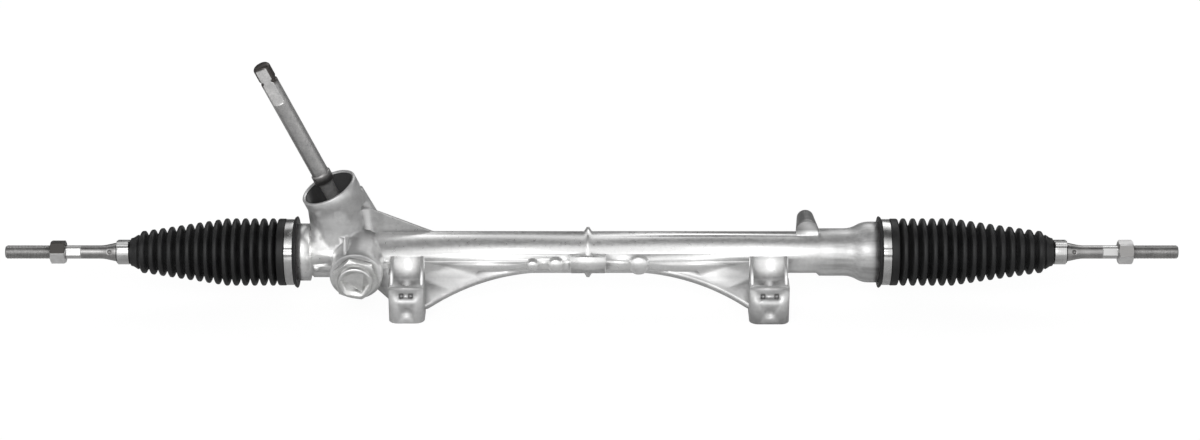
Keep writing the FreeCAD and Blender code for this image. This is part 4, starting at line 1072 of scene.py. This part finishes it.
class RACK_OT_stage(bpy.types.Operator):
    """Set up the floor, the light and the camera"""

    bl_idname = "rack.stage"
    bl_label = "Stage"

    def execute(self, context):
        scene = context.scene
        sizes = scene.rack_studio_sizes
        self.floor(scene)
        self.surroundings(scene, sizes)
        self.lamps(scene, sizes)
        self.camera(scene, sizes)
        scene.view_settings.view_transform = "Standard"
        return {"FINISHED"}

    def floor(self, scene):
        """A pale floor that the camera sees as white, with the rack's shadow on it."""
        half, gap = 3.0, 0.0005
        glow_strength, glow_share, mirror_share = 1.14, 0.82, 0.06
        mesh = bpy.data.meshes.new("floor")
        corners = [(-half, -half, 0), (half, -half, 0), (half, half, 0), (-half, half, 0)]
        mesh.from_pydata(corners, [], [(0, 1, 2, 3)])
        floor = bpy.data.objects.new("floor", mesh)
        scene.collection.objects.link(floor)
        floor.location.z = -gap
        material, tree = blank("pale_floor")
        coat(tree, Base_Color=(*grey(0.72), 1), Roughness=0.9, Specular_IOR_Level=0.1)
        path = add(tree, "ShaderNodeLightPath")
        seen = sum_of("MULTIPLY_ADD", path.outputs["Is Glossy Ray"], mirror_share,
                      path.outputs["Is Camera Ray"])
        glow = add(tree, "ShaderNodeEmission", Strength=glow_strength)
        light = mixed_light(times(seen, glow_share), tree.nodes["Principled BSDF"], glow)
        feed(tree.nodes["Material Output"].inputs[0], light)
        mesh.materials.append(material)

    def surroundings(self, scene, sizes):
        """White walls in front and behind, with a dim strip of ceiling between them."""
        world = bpy.data.worlds.new("studio")
        scene.world = world
        world.use_nodes = True
        tree = world.node_tree
        tree.nodes.clear()
        coordinates = add(tree, "ShaderNodeTexCoord")
        split = add(tree, "ShaderNodeSeparateXYZ", Vector=coordinates.outputs["Generated"])
        angle = sum_of("ARCTAN2", split.outputs["Z"], times(split.outputs["Y"], -1))

        def at(degrees):
            return (degrees + 180) / 360

        strips = ramp(spread(angle, -math.pi, math.pi, 0.0, 1.0), [
            (at(-170), grey(0.25)), (at(-60), grey(0.9)), (at(-25), grey(1.15)), (at(55), grey(1.15)),
            (at(80), grey(0.10)), (at(108), grey(0.10)), (at(118), grey(0.95)), (at(140), grey(0.95)),
            (at(150), grey(0.08)),
        ])
        soft = add(tree, "ShaderNodeBackground", Color=strips, Strength=sizes.sky)
        mirrored = add(tree, "ShaderNodeBackground", Color=strips, Strength=1.0)
        white = add(tree, "ShaderNodeBackground", Color=(1, 1, 1, 1), Strength=1.0)
        path = add(tree, "ShaderNodeLightPath")
        unseen = mixed_light(path.outputs["Is Glossy Ray"], soft, mirrored)
        whole = mixed_light(path.outputs["Is Camera Ray"], unseen, white)
        add(tree, "ShaderNodeOutputWorld", Surface=whole)

    def lamps(self, scene, sizes):
        """A large soft lamp in front and a weaker one behind."""
        for name, where, power, width in (
            ("front_light", (-0.5, -2.2, 1.5), sizes.key, 1.8),
            ("back_light", (0.6, 1.9, 1.7), sizes.key * 0.5, 1.6),
        ):
            lamp = bpy.data.lights.new(name, "AREA")
            lamp.shape = "RECTANGLE"
            lamp.size = width
            lamp.size_y = width * 0.6
            lamp.energy = power
            light = bpy.data.objects.new(name, lamp)
            scene.collection.objects.link(light)
            aim = rack_line - Vector(where)
            turn = aim.to_track_quat("-Z", "Y").to_matrix().to_4x4()
            light.matrix_world = Matrix.Translation(where) @ turn

    def camera(self, scene, sizes):
        """The camera, with the rack a little left of and below the middle of the picture."""
        pixel = 1.04e-3
        pixels_right, pixels_up = 12, 32
        camera = bpy.data.cameras.new("camera")
        holder = bpy.data.objects.new("camera", camera)
        scene.collection.objects.link(holder)
        back = Vector((0, -math.cos(sizes.elevation), math.sin(sizes.elevation)))
        right = Vector((1, 0, 0))
        up = back.cross(right)
        aim = rack_line + right * pixels_right * pixel + up * pixels_up * pixel
        turn = Matrix((right, up, back)).transposed().to_4x4()
        holder.matrix_world = Matrix.Translation(aim + back * sizes.distance) @ turn
        camera.sensor_fit = "HORIZONTAL"
        camera.sensor_width = 36
        camera.lens = 85.5
        camera.clip_end = 50
        scene.camera = holder


class RACK_PT_panel(bpy.types.Panel):
    """The steering rack's pieces"""

    bl_idname = "RACK_PT_panel"
    bl_label = "Steering rack"
    bl_space_type = "VIEW_3D"
    bl_region_type = "UI"
    bl_category = "Steering rack"

    def draw(self, context):
        for operator in operators:
            self.layout.operator(operator.bl_idname)
        for name in settings:
            sizes = getattr(context.scene, name)
            column = self.layout.column()
            for key in sizes.__annotations__:
                column.prop(sizes, key)


settings = {
    "rack_housing_sizes": HousingSizes,
    "rack_bellows_sizes": BellowsSizes,
    "rack_rod_sizes": RodSizes,
    "rack_studio_sizes": StudioSizes,
}
operators = (
    RACK_OT_inner, RACK_OT_housing, RACK_OT_pinion, RACK_OT_adjuster, RACK_OT_rods,
    RACK_OT_bellows, RACK_OT_clamps, RACK_OT_stage,
)


def register():
    for kind in (*settings.values(), *operators, RACK_PT_panel):
        bpy.utils.register_class(kind)
    for name, kind in settings.items():
        setattr(bpy.types.Scene, name, PointerProperty(type=kind))


def unregister():
    for name in settings:
        delattr(bpy.types.Scene, name)
    for kind in (RACK_PT_panel, *reversed(operators), *settings.values()):
        bpy.utils.unregister_class(kind)


def main():
    """Clears the file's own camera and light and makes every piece."""
    for kept in list(bpy.data.objects):
        if kept.type in ("CAMERA", "LIGHT"):
            bpy.data.objects.remove(kept)
    register()
    make_finishes(bpy.context.scene)
    for operator in operators:
        group, name = operator.bl_idname.split(".")
        result = getattr(getattr(bpy.ops, group), name)()
        if result != {"FINISHED"}:
            raise RuntimeError(operator.bl_label + " was not made")


if __name__ == "__main__":
    main()
